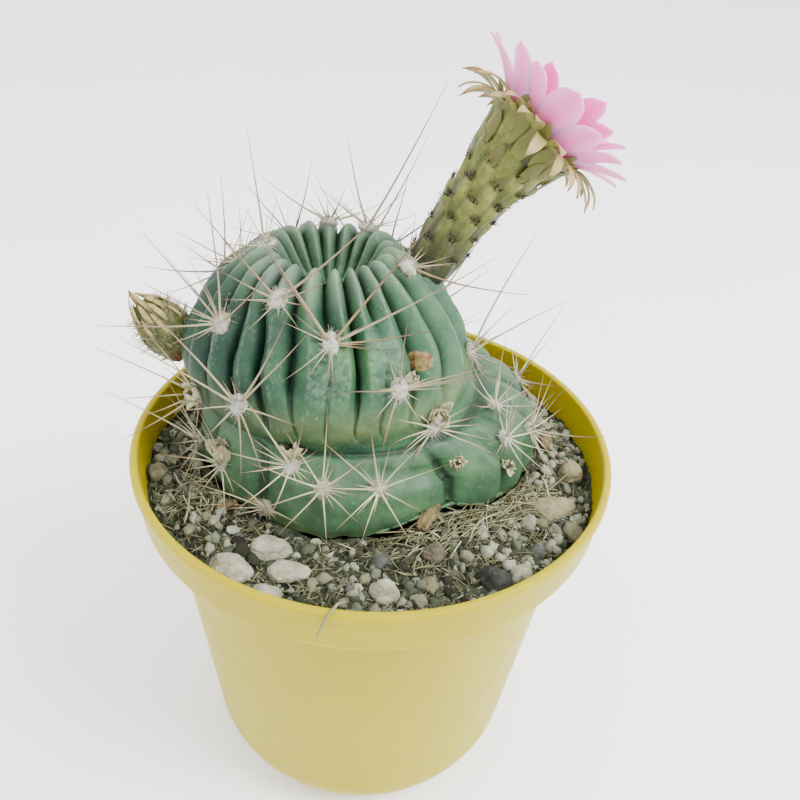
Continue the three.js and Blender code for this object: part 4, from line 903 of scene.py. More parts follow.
def make_spines(name, marks, place, paint, draw):
    """The spines that the solid has, rounder and gently waved, and a few fine ones close to the skin."""
    centre, outward, crownward, sideways = place
    paths, radii, tones = [], [], []
    high = smooth((centre[2] - 112) / 26)
    profile = np.linspace(0, 1, SPINE_STEPS)
    for tip, middle in marks:
        length = float(np.linalg.norm(tip - centre))
        root = centre + outward * 0.5 + unit(middle - centre) * 0.35
        wave = (crownward * draw.uniform(-1, 1) + sideways * draw.uniform(-1, 1)) * length * SPINE_WAVE
        waves = wave * (np.sin(profile * math.pi * 2) * profile * (1 - profile) * 4)[:, None]
        paths.append(curve_through(root, middle, tip) + waves)
        width = SPINE_RADIUS + min(SPINE_RADIUS, length * SPINE_RADIUS_GROWTH)
        radii.append(width * (1.12 - 0.95 * profile ** 1.15) + 0.1 * np.exp(-profile * 14))
        leaning = float(np.dot(unit(tip - centre), outward))
        tones.append(np.clip(high * 0.65 + leaning * 0.35 + draw.uniform(-0.2, 0.2), 0, 1))
    wanted = len(paths) + FINE_SPINES
    for _ in range(FINE_SPINE_TRIES):
        if len(paths) == wanted:
            break
        clock = draw.uniform(0, 2 * math.pi)
        lean = math.radians(draw.uniform(*FINE_LEAN))
        flat = crownward * math.cos(clock) + sideways * math.sin(clock)
        length = draw.uniform(*FINE_LENGTH)
        root = centre + outward * 0.5 + flat * 0.6
        tip = root + (outward * (math.cos(lean) + 0.08) + flat * math.sin(lean)) * length
        path = curve_through(root, (root + tip) / 2 - outward * length * 0.01, tip)
        if is_clear(path):
            paths.append(path)
            radii.append(FINE_RADIUS * (1.15 - profile ** 1.2) + 0.02)
            tones.append(np.clip(high * 0.4 + draw.uniform(0, 0.2), 0, 1))
    points, faces, along, index = strands(paths, np.array(radii), SPINE_SIDES)
    values = {"along": along, "tone": np.array(tones)[index]}
    mesh_piece(name + "_spines", points, faces, paint, name, values)


def make_felt(name, size, place, paint, draw, tone):
    """A woolly pad: a lumpy mound with short curled hairs standing out of it."""
    centre, outward, crownward, sideways = place
    turn = np.stack([sideways, crownward, outward])
    foot = centre + outward * size * 0.1
    ball, triangles = sphere_template(3)
    shape = ball * (size * FELT_SHAPE)
    shape = shape * (1 + 0.22 * fractal(shape + draw.uniform(0, 50), 0.9, 3))[:, None]
    roots = ball[[draw.randrange(len(ball)) for _ in range(FELT_HAIRS)]]
    roots = roots[roots[:, 2] > -0.2]
    lean = np.array([scatter(draw, 1, 1, 1) for _ in roots])
    curl = np.array([scatter(draw, 1, 1, 1) for _ in roots])[:, None]
    reach = np.array([draw.uniform(0.5, 1.15) for _ in roots])[:, None, None] * size * 0.62
    share = np.linspace(0, 1, 5)[None, :, None]
    start = (roots * (size * FELT_ROOTS))[:, None]
    hairs = start + unit(roots + 0.45 * lean)[:, None] * share * reach + curl * reach * 0.3 * share ** 2
    hair, faces, _, _ = strands(foot + hairs @ turn, np.linspace(0.075, 0.03, 5), 3)
    points = np.concatenate([foot + shape @ turn, hair])
    faces = [triangles] + [group + len(ball) for group in faces]
    values = {"tone": np.full(len(points), tone)}
    mesh_piece(name + "_felt", points, faces, paint, values=values)


def make_areoles():
    horn, wool = spine_paint(), felt_paint()
    for number, (name, (marks, place)) in enumerate(AREOLES.items()):
        draw = random.Random(500 + number)
        make_spines(name, marks, place, horn, draw)
        height = place[0][2]
        tone = float(np.clip(draw.gauss(0.15, 0.12) + (0.25 if height < AGED_BELOW else 0), 0, 1))
        make_felt(name, GLOBE_FELT if height > TIER_TOP else TIER_FELT, place, wool, draw, tone)


# Petals, scales and other blades


DRIED_BLADES = 11


def blade(bearing, radius, height, length, width, start, end, cup, draw, thickness=0.5, rows=14, columns=9,
          point=0.5, wave=0.25):
    """A curved, cupped, wavy-edged petal, sepal or scale as a thin closed solid in its whorl's frame."""
    share = np.linspace(0, 1, rows)
    across = np.linspace(-1, 1, columns)
    off = np.abs(across)
    angle = np.radians(start + (end - start) * share)
    way = (angle[1:] + angle[:-1]) / 2
    step = length / (rows - 1)
    reach = radius + np.concatenate([[0], np.cumsum(np.sin(way) * step)])
    rise = height + np.concatenate([[0], np.cumsum(np.cos(way) * step)])
    outline = np.sin(np.pi * np.clip(0.16 + 0.72 * share, 0, 1)) ** 0.8
    outline = outline * (1 - (np.maximum(share - 0.8, 0) / 0.2) ** (1 / point) * 0.93)
    half = width / 2 * np.maximum(outline, 0.05)
    away = np.stack([np.cos(angle), np.zeros(rows), -np.sin(angle)], -1)[:, None, :]
    lift = -cup * half[:, None] * off ** 1.7 * (0.4 + 0.6 * share[:, None])
    ripple = wave * np.sin(share[:, None] * 9 + draw.uniform(0, 6) + across) * off ** 2 * share[:, None]
    sheet = np.stack([reach, np.zeros(rows), rise], -1)[:, None, :] + away * (lift + ripple)[:, :, None]
    sheet[:, :, 1] += half[:, None] * across
    thick = away * (thickness / 2 * (1 - 0.5 * share)[:, None] * (1 - 0.55 * across ** 2))[:, :, None]
    count = rows * columns
    grid = np.arange(count).reshape(rows, columns)
    a, b, c, d = [corner.ravel() for corner in (grid[:-1, :-1], grid[:-1, 1:], grid[1:, 1:], grid[1:, :-1])]
    quads = [np.stack([a, b, c, d], -1), np.stack([a, d, c, b], -1) + count]
    for line in (grid[:, 0], grid[:, -1], grid[0], grid[-1]):
        quads.append(np.stack([line[:-1], line[1:], line[1:] + count, line[:-1] + count], -1))
    points = turned(np.concatenate([(sheet + thick).reshape(-1, 3), (sheet - thick).reshape(-1, 3)]), bearing)
    return points, np.concatenate(quads), np.tile(np.repeat(share, columns), 2), np.tile(off, rows * 2)


def make_dried_flowers():
    """Papery, crumpled remains of old flowers, each a whorl of curled blades in a cup."""
    draw = random.Random(58)
    parts = []
    for pixel_x, pixel_y, size in DRIED_FLOWERS:
        place, normal = seen_at(SKIN_TREE, pixel_x, pixel_y + 2)
        turn = frames_along(normal + [-0.2, 0.0, 0.7])
        for i in range(DRIED_BLADES):
            length = size * draw.uniform(0.9, 1.5)
            lean = draw.uniform(10, 48)
            points, faces, _, _ = blade(
                i * GOLDEN_ANGLE, size * draw.uniform(0.2, 0.42), -0.8, length,
                size * draw.uniform(0.6, 0.95), lean, lean + draw.uniform(-75, 10), 0.45, draw,
                thickness=0.28, rows=10, point=0.9, wave=0.55)
            points = points + 0.22 * fractal(points + i * 7.0, 1.1, 2)[:, None]
            parts.append((place + points @ turn, faces))
    points, faces = join_parts(parts)
    mesh_piece("dried_flowers", points, [faces], papery_paint(), outward=True)


# Flower and bud

THROAT_TURN = frames_along(THROAT_DIRECTION)
TUBE_RADII = np.array([[0, 5.2], [0.15, 6.0], [0.4, 6.3], [0.65, 7.2], [0.88, 9.4], [1, 10.6]])
# The throat's steps from its edge inward: radius and height
THROAT_STEPS = [(9.9, -0.15), (8.4, 0.05), (6.2, -0.1), (5.9, -2.4), (1.6, -3.0)]
THROAT_FLOOR = -3.1
RIDGE_LENGTH, RIDGE_WIDTH, RIDGE_HEIGHT = 0.24, 1.5 / 6.5, 1.25
TUBE_ROWS, TUBE_COLUMNS = 90, 96
TUBE_SCALES = 50
BRACTS = 14
TUFT_HAIRS = 20
BUD_SCALES = 42
BUD_HAIRS = 12
STAMENS = 74
STAMEN_FOOT, STAMEN_HEIGHTS = 1.2, (8.2, 12.4)
ANTHER_SIZE = np.array([0.42, 0.42, 0.75])
STIGMA_LOBES = 8
STYLE_FOOT, STYLE_TOP = 0.6, 12.2
LOBE_FOOT = np.array([0.15 * math.sin(4.7), 0.1, 11.6])


def in_throat(points):
    return THROAT + points @ THROAT_TURN


def ring_part(inner_radius, outer_radius, low, high, sides=60, steps=12):
    """The rounded ring that a whorl grows from, in its whorl's frame."""
    section = round_angles(steps)[:, None]
    radius = (inner_radius + outer_radius) / 2 + (outer_radius - inner_radius) / 2 * np.cos(section)
    rise = (low + high) / 2 + (high - low) / 2 * np.sin(section)
    points = circle(radius, rise, round_angles(sides)).reshape(-1, 3)
    count = len(points)
    return points, grid_faces(steps + 1, sides) % count, np.full(count, 0.1), np.zeros(count)


def whorl_piece(name, paint, ring, blades, count, seed, spread, sway):
    draw = random.Random(seed)
    parts = [ring_part(*ring)]
    for i in range(count):
        changed = dict(blades)
        changed["length"] *= draw.uniform(0.86, 1.12)
        changed["width"] *= draw.uniform(0.85, 1.15)
        changed["start"] += draw.uniform(-spread, spread) * 0.4
        changed["end"] += draw.uniform(-spread, spread)
        parts.append(blade(2 * math.pi * (i + draw.uniform(-sway, sway)) / count, draw=draw, **changed))
    points, faces, along, across = join_parts(parts)
    values = {"along": along, "across": across}
    mesh_piece(name, in_throat(points), [faces], paint, "flower_" + name, values, True)


def make_corolla():
    paint = petal_paint("petal_outer_skin", "#ff84d4", "#ffb2e6", "#ee8ca6")
    petal = dict(radius=8.3, height=2.2, length=15.8, width=7.4, start=50, end=68, cup=0.3)
    whorl_piece("petals_outer", paint, (6.4, 9.5, 2.0, 3.1), petal, 14, 61, 12, 0.25)
    paint = petal_paint("petal_inner_skin", "#ff70c8", "#ff9ad8", "#f6b0d2")
    petal = dict(radius=7.4, height=3.8, length=14.5, width=7.0, start=36, end=50, cup=0.35)
    whorl_piece("petals_inner", paint, (6.4, 8.5, 3.6, 4.6), petal, 9, 62, 9, 0.25)
    sepal = dict(radius=9.2, height=0.8, length=14, width=2.7, start=42, end=150, cup=0.25)
    sepal.update(point=0.8, wave=0.15)
    whorl_piece("sepals", sepal_paint(), (6.4, 10.3, 0.4, 1.5), sepal, 32, 63, 34, 0.35)


def make_throat():
    """Stamens with their anthers, and the pistil with its lobes."""
    draw = random.Random(64)
    steps = 9
    share = np.linspace(0, 1, steps)[:, None]
    paths = []
    for i in range(STAMENS):
        angle = i * GOLDEN_ANGLE
        foot = 2.4 + 3.0 * math.sqrt((i + 0.5) / STAMENS)
        head = foot * draw.uniform(0.95, 1.25) + 0.3
        twist = angle + draw.uniform(-0.3, 0.3)
        start = circle(foot, STAMEN_FOOT, angle)
        tip = circle(head, draw.uniform(*STAMEN_HEIGHTS), twist)
        bow = circle(draw.uniform(0.2, 0.8), 0, angle)
        paths.append(start + (tip - start) * share + bow * np.sin(share * math.pi))
    threads, faces, along, _ = strands(paths, np.linspace(0.2, 0.13, steps), 6)
    ball, triangles = sphere_template(2)
    anthers = []
    for path in paths:
        size = ANTHER_SIZE * draw.uniform(0.85, 1.15)
        turn = frames_along(path[-1] - path[-2] + [draw.uniform(-1, 1), 0.1, 0])
        anthers.append((path[-1] + (ball * size) @ turn, triangles + len(threads), np.ones(len(ball))))
    anther_points, anther_faces, anther_along = join_parts(anthers)
    ring, ring_faces, ring_along, _ = ring_part(1.7, 5.7, 0.5, 2.7, 40, 10)
    points = in_throat(np.concatenate([threads, anther_points, ring]))
    faces = faces + [anther_faces, ring_faces + len(threads) + len(anther_points)]
    values = {"along": np.concatenate([along * 0.8, anther_along, ring_along])}
    mesh_piece("stamens", points, faces, pollen_paint(), "flower_stamens", values, True)
    rise = np.linspace(STYLE_FOOT, STYLE_TOP, steps)
    paths = [np.stack([0.15 * np.sin(rise * 0.4), 0.1 * rise / 12, rise], -1)]
    radii = [np.linspace(0.9, 0.75, steps)]
    for lobe in range(STIGMA_LOBES):
        out = circle(1.0, 0, lobe * 2 * math.pi / STIGMA_LOBES + draw.uniform(-0.15, 0.15))
        paths.append(LOBE_FOOT + out * (0.3 + 1.5 * share ** 1.4) + [0, 0, 3.0] * share)
        radii.append(0.42 - 0.2 * share[:, 0] ** 2)
    points, faces, _, _ = strands(paths, radii, 10)
    mesh_piece("pistil", in_throat(points), faces, stigma_paint(), "flower_pistil", outward=True)


def tube_point(share):
    """The middle of the tube at a share of its length, and its frame there."""
    reach = np.linalg.norm(THROAT - TUBE_FOOT) / 3
    a, d = TUBE_FOOT, THROAT
    b, c = a + unit(TUBE_START) * reach, d - unit(THROAT_DIRECTION) * reach
    rest = 1 - share
    point = rest ** 3 * a + 3 * rest ** 2 * share * b + 3 * rest * share ** 2 * c + share ** 3 * d
    way = 3 * rest ** 2 * (b - a) + 6 * rest * share * (c - b) + 3 * share ** 2 * (d - c)
    return point, frames_along(way)


def tube_radius(share):
    marks, radii = TUBE_RADII.T
    index = int(np.clip(np.searchsorted(marks, share, side="right") - 1, 0, len(marks) - 2))
    part = smooth((share - marks[index]) / (marks[index + 1] - marks[index]))
    return radii[index] + (radii[index + 1] - radii[index]) * part


# Share along the tube and bearing round it of every scale, in one spiral
TUBE_MARKS = [
    (0.1 + 0.9 * (i / TUBE_SCALES) ** 0.8, (i * GOLDEN_ANGLE) % (2 * math.pi)) for i in range(TUBE_SCALES)
]


def make_tube():
    angle = round_angles(TUBE_COLUMNS)
    rings = [in_throat(circle(radius, height, angle)) for radius, height in THROAT_STEPS[::-1]]
    heights, ridges = [1.0] * len(rings), [np.ones(TUBE_COLUMNS)] * len(rings)
    for share in np.linspace(0, 1, TUBE_ROWS)[::-1]:
        relief = np.zeros(TUBE_COLUMNS)
        for mark, bearing in TUBE_MARKS:
            below = mark - share
            if -0.02 < below < RIDGE_LENGTH:
                away = (angle - bearing + math.pi) % (2 * math.pi) - math.pi
                run = smooth((RIDGE_LENGTH - below) / RIDGE_LENGTH) * smooth((below + 0.02) / 0.03)
                relief = np.maximum(relief, run * bell(away, RIDGE_WIDTH))
        centre, turn = tube_point(share)
        rings.append(centre + circle(tube_radius(share) - 0.7 + RIDGE_HEIGHT * relief, 0, angle) @ turn)
        heights.append(share)
        ridges.append(relief)
    points, faces = capped(rings, in_throat(np.array([0, 0, THROAT_FLOOR])), TUBE_FOOT)
    values = {
        "along": np.append(np.repeat(heights, TUBE_COLUMNS), [1.0, 0.0]),
        "ridge": np.append(np.ravel(ridges), [1.0, 0.0]),
    }
    mesh_piece("tube", points, faces, tube_paint(), "flower_tube", values, True)


def make_tube_scales():
    """Scales with a dark tuft of hair each, and broad bracts under the sepals."""
    draw = random.Random(65)
    share = np.linspace(0, 1, 5)[:, None]
    scales, wool = [], []
    for mark, bearing in TUBE_MARKS:
        centre, turn = tube_point(mark)
        high = float(smooth((mark - 0.55) / 0.4))
        points, faces, along, _ = blade(
            bearing, tube_radius(mark) - 0.15, -1.0, 2.5 + 7.0 * high, 1.3 + 2.9 * high, 7 + 12 * high,
            2 + 16 * high, 0.35, draw, thickness=0.4, rows=9, columns=7, point=0.8, wave=0.1)
        scales.append((centre + points @ turn, faces, along, np.full(len(points), high)))
        for _ in range(TUFT_HAIRS if mark < 0.86 else 0):
            out = circle(1.0, 0.0, bearing + draw.gauss(0, 0.1))
            start = out * (tube_radius(mark) + 0.15) + [0, 0, 0.7 + draw.gauss(0, 0.45)]
            way = unit(out + [0, 0, 0.9] + scatter(draw, 0.5, 0.5, 0.5))
            bow = scatter(draw, 0.35, 0.35, 0.35)
            wool.append(centre + (start + way * share * draw.uniform(0.5, 1.3) + bow * share * share) @ turn)
    for bract in range(BRACTS):
        points, faces, along, _ = blade(
            2 * math.pi * (bract + draw.uniform(-0.2, 0.2)) / BRACTS, 9.5, -3.4, draw.uniform(7.5, 11),
            draw.uniform(4.2, 5.6), 12, draw.uniform(34, 62), 0.35, draw, thickness=0.4, rows=11, point=0.8,
            wave=0.15)
        scales.append((in_throat(points), faces, along, np.ones(len(points))))
    points, faces, along, high = join_parts(scales)
    values = {"along": along, "high": high}
    mesh_piece("tube_scales", points, [faces], scale_paint(), None, values, True)
    points, faces, along, _ = strands(wool, np.linspace(0.12, 0.04, 5), 3)
    mesh_piece("tube_wool", points, faces, dark_hair_paint(), values={"along": along})


def bud_reach(share):
    return BUD_RADIUS * math.sin(math.pi * min(1, 0.12 + 0.82 * share)) ** 0.7


def make_bud():
    turn = frames_along(BUD_DIRECTION)
    rows, columns = 44, 72
    length = BUD_LENGTH * 0.97
    angle = round_angles(columns)
    shares = np.linspace(0.98, 0.03, rows)
    rings = []
    for share in shares:
        girth = 0.93 + 0.05 * np.cos(angle * 9 + share * 4)
        rings.append(circle(bud_reach(share) * girth, share * length, angle))
    points, faces = capped(rings, [0, 0, BUD_LENGTH * 0.96], [0, 0, 0])
    points = points + unit(points - [0, 0, 8]) * 0.25 * fractal(points, 2.2, 3, 3.0)[:, None]
    values = {"along": np.append(np.repeat(shares, columns), [1.0, 0.0])}
    mesh_piece("bud", BUD_FOOT + points @ turn, faces, bud_paint(), "flower_bud", values, True)
    draw = random.Random(66)
    steps = np.linspace(0, 1, 5)[:, None]
    scales, wool = [], []
    for i in range(BUD_SCALES):
        share = 0.08 + 0.8 * i / BUD_SCALES
        bearing = i * GOLDEN_ANGLE
        lean = 42 * (1 - share) - 18
        points, faces, along, _ = blade(
            bearing, bud_reach(share) - 0.35, share * length, draw.uniform(5.5, 8.0), draw.uniform(0.8, 1.4),
            lean, lean - 46, 0.2, draw, thickness=0.4, rows=10, columns=7, point=0.8, wave=0.15)
        scales.append((BUD_FOOT + points @ turn, faces, along))
        for _ in range(BUD_HAIRS):
            out = circle(1.0, 0.0, bearing + draw.gauss(0, 0.2))
            start = out * bud_reach(share) * 0.95 + [0, 0, share * length]
            way = unit(out * 0.8 + [*scatter(draw, 0.4, 0.4), draw.uniform(0.2, 1)])
            wool.append(BUD_FOOT + (start + way * steps * draw.uniform(1.5, 3.5)) @ turn)
    points, faces, along = join_parts(scales)
    mesh_piece("bud_scales", points, [faces], bud_scale_paint(), None, {"along": along}, True)
    points, faces, _, _ = strands(wool, np.linspace(0.08, 0.04, 5), 3)
    values = {"tone": np.full(len(points), 0.8)}
    mesh_piece("bud_wool", points, faces, felt_paint(), values=values)


# Pot

POT_SIDES = 180


def rounded(corners):
    """An outline whose corners, given with a radius, are replaced with arcs."""
    points = [np.array(corners[0][:2], float)]
    for before, (x, y, radius), after in zip(corners, corners[1:], corners[2:]):
        corner = np.array([x, y], float)
        if radius == 0:
            points.append(corner)
            continue
        back = unit(np.array(before[:2]) - corner)
        on = unit(np.array(after[:2]) - corner)
        half = math.acos(np.clip(np.dot(back, on), -1, 1)) / 2
        reach = radius / math.tan(half)
        middle = corner + unit(back + on) * radius / math.sin(half)
        start, end = corner + back * reach - middle, corner + on * reach - middle
        for share in np.linspace(0, 1, 7):
            points.append(middle + unit(start * (1 - share) + end * share) * radius)
    points.append(np.array(corners[-1][:2], float))
    return np.array(points)


def pot_outline():
    """Half of the pot's section, from the underside's middle over the rim to the floor's middle."""
    arc = np.radians(np.linspace(-52, 0, 12))
    x, y = BASE_RADIUS + BASE_ROUNDING * (np.cos(arc) - 1), BASE_ROUNDING * (np.sin(arc) + 1)
    outer_arc = list(zip(x, y, 0 * arc))
    inner_arc = [(x - WALL_THICKNESS * 1.05, y + 0.4, 0) for x, y, _ in outer_arc[::-1] if y > 5]
    return rounded([
        (0, 0.8, 0), (DRAIN_CIRCLE + 7, 0.8, 0.6), (DRAIN_CIRCLE + 8, 0, 0.4), (FOOT_RADIUS, 0, 0.8),
        (FOOT_RADIUS + 0.4, outer_arc[0][1], 0.3), *outer_arc, (WALL_TOP_RADIUS, COLLAR_FOOT, 0.8),
        (COLLAR_FOOT_RADIUS, COLLAR_FOOT - 0.05, 0.6), (RIM_RADIUS - 0.7, POT_HEIGHT - 2.8, 0.5),
        (RIM_RADIUS, POT_HEIGHT - 2.2, 0.5), (RIM_RADIUS, POT_HEIGHT, 0.9),
        (RIM_RADIUS - 1.9, POT_HEIGHT, 0.7), (RIM_RADIUS - 2.2, POT_HEIGHT - 2.5, 0.8),
        (COLLAR_FOOT_RADIUS - 1.7, COLLAR_FOOT + 2.4, 1.0),
        (WALL_TOP_RADIUS - WALL_THICKNESS, COLLAR_FOOT - 0.6, 1.0), *inner_arc,
        (FOOT_RADIUS - 2.0, FLOOR_HEIGHT, 0.8), (0, FLOOR_HEIGHT, 0),
    ])


def drain_drill():
    drill = bmesh.new()
    for angle in round_angles(DRAINS) + math.pi / DRAINS:
        place = Matrix.Translation(circle(DRAIN_CIRCLE, FLOOR_HEIGHT / 2, angle) * MM)
        bmesh.ops.create_cone(drill, cap_ends=True, segments=32, radius1=DRAIN_RADIUS * MM,
                              radius2=DRAIN_RADIUS * MM, depth=4 * FLOOR_HEIGHT * MM, matrix=place)
    mesh = bpy.data.meshes.new("drill")
    drill.to_mesh(mesh)
    drill.free()
    return add_object("drill", mesh)


def make_pot():
    outline = pot_outline()
    rings = outline[1:-1][::-1]
    rings = circle(rings[:, :1], rings[:, 1:], round_angles(POT_SIDES))
    points, faces = capped(rings, [0, 0, outline[-1][1]], [0, 0, outline[0][1]])
    pot = mesh_piece("pot_shell", points, faces, plastic_paint(), "pot", outward=True)
    drill = drain_drill()
    cut = pot.modifiers.new("drains", "BOOLEAN")
    cut.object, cut.operation, cut.solver = drill, "DIFFERENCE", "EXACT"
    bpy.context.view_layer.update()
    drilled = bpy.data.meshes.new_from_object(pot.evaluated_get(bpy.context.evaluated_depsgraph_get()))
    pot.modifiers.clear()
    pot.data = drilled
    bpy.data.objects.remove(drill)


# Soil and stones

SOIL_REACH = 57.2
# Debris banked up in front of the tier's foot: height, middle x and y and reach along both
BANK_HEIGHT, BANK_X, BANK_Y, BANK_LENGTH, BANK_DEPTH = 2.6, 22, -20, 16, 7
# The soil sinks by this much over this reach towards the pot's wall, from this distance
SINK, SINK_REACH, SINK_FROM = 1.2, 8, 50
SWELL_HEIGHT = 0.54
ROOT_HOLE_DEPTH = 12.0
CRUMBS = 1500
FIBRES = 2400
HEAP_FIBRES = 110
LITTER_STRANDS = 60
STRAW_HEAPS = [(12, -24), (24, -21), (37, -14), (-40, -20)]
HEAP_SPREAD, HEAP_REACH = 4, 7
LITTER_X, LITTER_Y = (6, 46), (-34, -8)
RIM_STRAND = [
    (-1.5, -54, 103.2), (-3.4, -57.6, 106.2), (-5.2, -60.6, 105.6), (-6.4, -61.0, 102.4), (-7.2, -60.6, 99.4),
]
# Each chip of bark: middle x and y, length, width, turn in degrees
BARK_CHIPS = [(14.6, -24.6, 9, 3.2, 66), (-33, -24, 5, 2.2, 20), (46, 10, 6, 2.6, 80)]
CHIP_TILT = np.array([[0, 0, 0.12], [0, 0, 0.05], [-0.12, 0, 0]])
# Each kind of grit: colours, slot, how many, and the middle x and y and the size of those placed one by one
GRIT = {
    "grit_pale": (["#80806a", "#b9b9a2", "#70684a"], "stone_white", 34,
                  [(-40, -28, 1.6), (-35, -29, 1.7), (-30, -31, 1.5), (35.6, -38.3, 2.4), (34.5, -26, 1.5)]),
    "grit_tan": (["#5f5e46", "#928f70", "#4a4430"], "stone_tan", 60,
                 [(-52.5, -13, 2.6), (4, -51.5, 2.2), (49, -24, 3.0), (-53, -5.5, 2.0), (-50, -8.5, 1.7)]),
    "grit_grey": (["#31322e", "#63645e", "#22221f"], "stone_black", 40,
                  [(4, -38, 2.2), (-44, -20, 1.6), (40, -31, 1.6)]),
}
# Each kind of stone: its dark and pale colour and its spots'
STONE_COLORS = {
    "stone_white": ["#86846c", "#c3c1a8", "#766c46"],
    "stone_tan": ["#837a58", "#aaa37f", "#655a3a"],
    "stone_black": ["#1e211d", "#494b44", "#6c6c62"],
    "stone_round_grey": ["#565041", "#837b67", "#3b3528"],
}
# Each stone: middle x and y, half length, half width, half height, turn in degrees, seed, slot, colours
STONES = {
    "stone_white_oval": (-20.9, -35.6, 4.8, 3.3, 2.4, 10, 11, "stone_white", "stone_white"),
    "stone_white_flat": (-28.2, -42.6, 5.6, 3.6, 2.4, -18, 12, "stone_white", "stone_white"),
    "stone_white_right": (-15.6, -42.6, 4.1, 3.1, 2.5, 5, 13, "stone_white", "stone_white"),
    "stone_white_front": (-19.6, -49.2, 3.6, 2.9, 2.2, 30, 14, "stone_white", "stone_white"),
    "stone_white_tall": (5.7, -46.4, 2.9, 3.2, 3.0, 70, 15, "stone_white", "stone_white"),
    "stone_heart": (51.4, -1.4, 3.0, 3.6, 2.8, 80, 16, "stone_tan", "stone_tan"),
    "stone_tan_large": (45.0, -16.2, 5.0, 4.0, 3.0, 15, 17, "stone_tan", "stone_tan"),
    "stone_black": (30.0, -40.4, 3.7, 3.5, 2.8, 40, 18, "stone_black", "stone_black"),
    "stone_round": (16.1, -33.6, 2.6, 2.6, 2.4, 0, 19, "stone_tan", "stone_round_grey"),
}
STONE_WAVES = (0.1, 0.08, 0.07)
SOIL_FOOT = level_at(SOIL_HEIGHT)
SOIL_AXIS = body_level(SOIL_FOOT)[2:4]
BEARINGS = np.arange(-180, 181, 1.0)


def body_reach():
    """How far the skin reaches from the tier's axis just above the soil, at each bearing."""
    rings = [body_ring(BEARINGS, level)[0] for level in np.arange(SOIL_FOOT - 0.6, SOIL_FOOT + 1.0, 0.1)]
    return np.max([np.hypot(*(points[:, :2] - SOIL_AXIS).T) for points in rings], axis=0)


BODY_REACH = body_reach()


def swell(x, y):
    """The soil's broad shape, with debris banked up against the foot of the tier."""
    swells = np.sin(x * 0.21 + 1.3) * np.cos(y * 0.17) + 0.6 * np.sin(x * 0.41 - y * 0.33)
    bank = BANK_HEIGHT * bell(x - BANK_X, BANK_LENGTH) * bell(y - BANK_Y, BANK_DEPTH)
    sunk = SINK * np.maximum(0, np.hypot(x, y) - SINK_FROM) / SINK_REACH
    return SOIL_HEIGHT + SWELL_HEIGHT * swells + bank - sunk


def ground(x, y):
    """The soil's height, with its crumbly surface."""
    places = np.stack([x, y, 0 * x], -1)
    return swell(x, y) + 0.9 * fractal(places, 5.0, 3, 4.0) + 0.55 * fractal(places, 1.7, 3, 5.0)


def room_beside_body(x, y):
    away = np.hypot(x - SOIL_AXIS[0], y - SOIL_AXIS[1])
    bearing = np.degrees(np.arctan2(y - SOIL_AXIS[1], x - SOIL_AXIS[0]))
    return away - np.interp(bearing, BEARINGS, BODY_REACH)


def soil_spots(count, draw, margin, centre=None):
    """Places on the open soil, all over it or heaped round a centre."""
    spots = []
    while len(spots) < count:
        if centre is None:
            reach, angle = (SOIL_REACH - margin) * math.sqrt(draw.random()), draw.uniform(0, 2 * math.pi)
            x, y = reach * math.cos(angle), reach * math.sin(angle)
        else:
            x, y = centre[0] + draw.gauss(0, HEAP_SPREAD), centre[1] + draw.gauss(0, HEAP_SPREAD)
        blocked = any(math.hypot(x - s[0], y - s[1]) < s[3] + margin * 0.6 for s in STONES.values())
        if not blocked and math.hypot(x, y) <= SOIL_REACH - margin and room_beside_body(x, y) >= margin:
            spots.append((x, y))
    return np.array(spots)


def make_soil():
    columns, rows = 300, 90
    angle = np.radians(np.arange(columns) * 360 / columns)
    reach = np.interp((np.degrees(angle) + 180) % 360 - 180, BEARINGS, BODY_REACH) + 0.15
    hole = circle(reach, SOIL_HEIGHT - ROOT_HOLE_DEPTH, angle) + [*SOIL_AXIS, 0]
    share = (np.arange(rows) / (rows - 1))[:, None, None]
    top = hole * (1 - share) + circle(SOIL_REACH, 0, angle) * share
    top[:, :, 2] = ground(top[:, :, 0].ravel(), top[:, :, 1].ravel()).reshape(rows, columns)
    wall = [
        (COLLAR_FOOT_RADIUS - 2.1, COLLAR_FOOT + 2.6),
        (WALL_TOP_RADIUS - WALL_THICKNESS - 0.3, COLLAR_FOOT - 0.8),
        (BASE_RADIUS - WALL_THICKNESS - 0.4, BASE_ROUNDING),
        (FOOT_RADIUS - 3.4, FLOOR_HEIGHT + 0.4),
    ]
    rings = [hole, *top] + [circle(radius, height, angle) for radius, height in wall]
    ends = [*SOIL_AXIS, SOIL_HEIGHT - ROOT_HOLE_DEPTH], [0, 0, FLOOR_HEIGHT + 0.4]
    points, faces = capped(rings, *ends)
    mesh_piece("soil_ground", points, faces, soil_paint(), "soil", outward=True)


def grains(places, sizes, draw, subdivisions, roughness):
    """Many small lumpy grains as one mesh: points, triangles, and the number of the grain at each point."""
    ball, triangles = sphere_template(subdivisions)
    parts = []
    for number, (place, size) in enumerate(zip(places, sizes)):
        shape = ball * (1 + roughness * fractal(ball + number * 3.7, 0.8, 2))[:, None]
        shape = shape * size * [draw.uniform(0.75, 1.25), draw.uniform(0.75, 1.25), draw.uniform(0.55, 0.9)]
        points = place + shape @ frames_along(scatter(draw, 1, 1, 1))
        parts.append((points, triangles, np.full(len(ball), number)))
    return join_parts(parts)


def make_crumbs():
    draw = random.Random(70)
    spots = soil_spots(CRUMBS, draw, 1.2)
    sizes = np.array([min(1.7, 0.45 + draw.expovariate(2.6)) for _ in spots])
    places = np.column_stack([spots, ground(*spots.T) + sizes * 0.15])
    points, faces, index = grains(places, sizes, draw, 2, 0.45)
    tones = np.array([draw.random() for _ in spots])
    tones = np.clip(tones + 0.55 * smooth((spots[:, 0] - 22) / 20), 0, 1)[index]
    mesh_piece("soil_crumbs", points, [faces], crumb_paint(), values={"tone": tones})


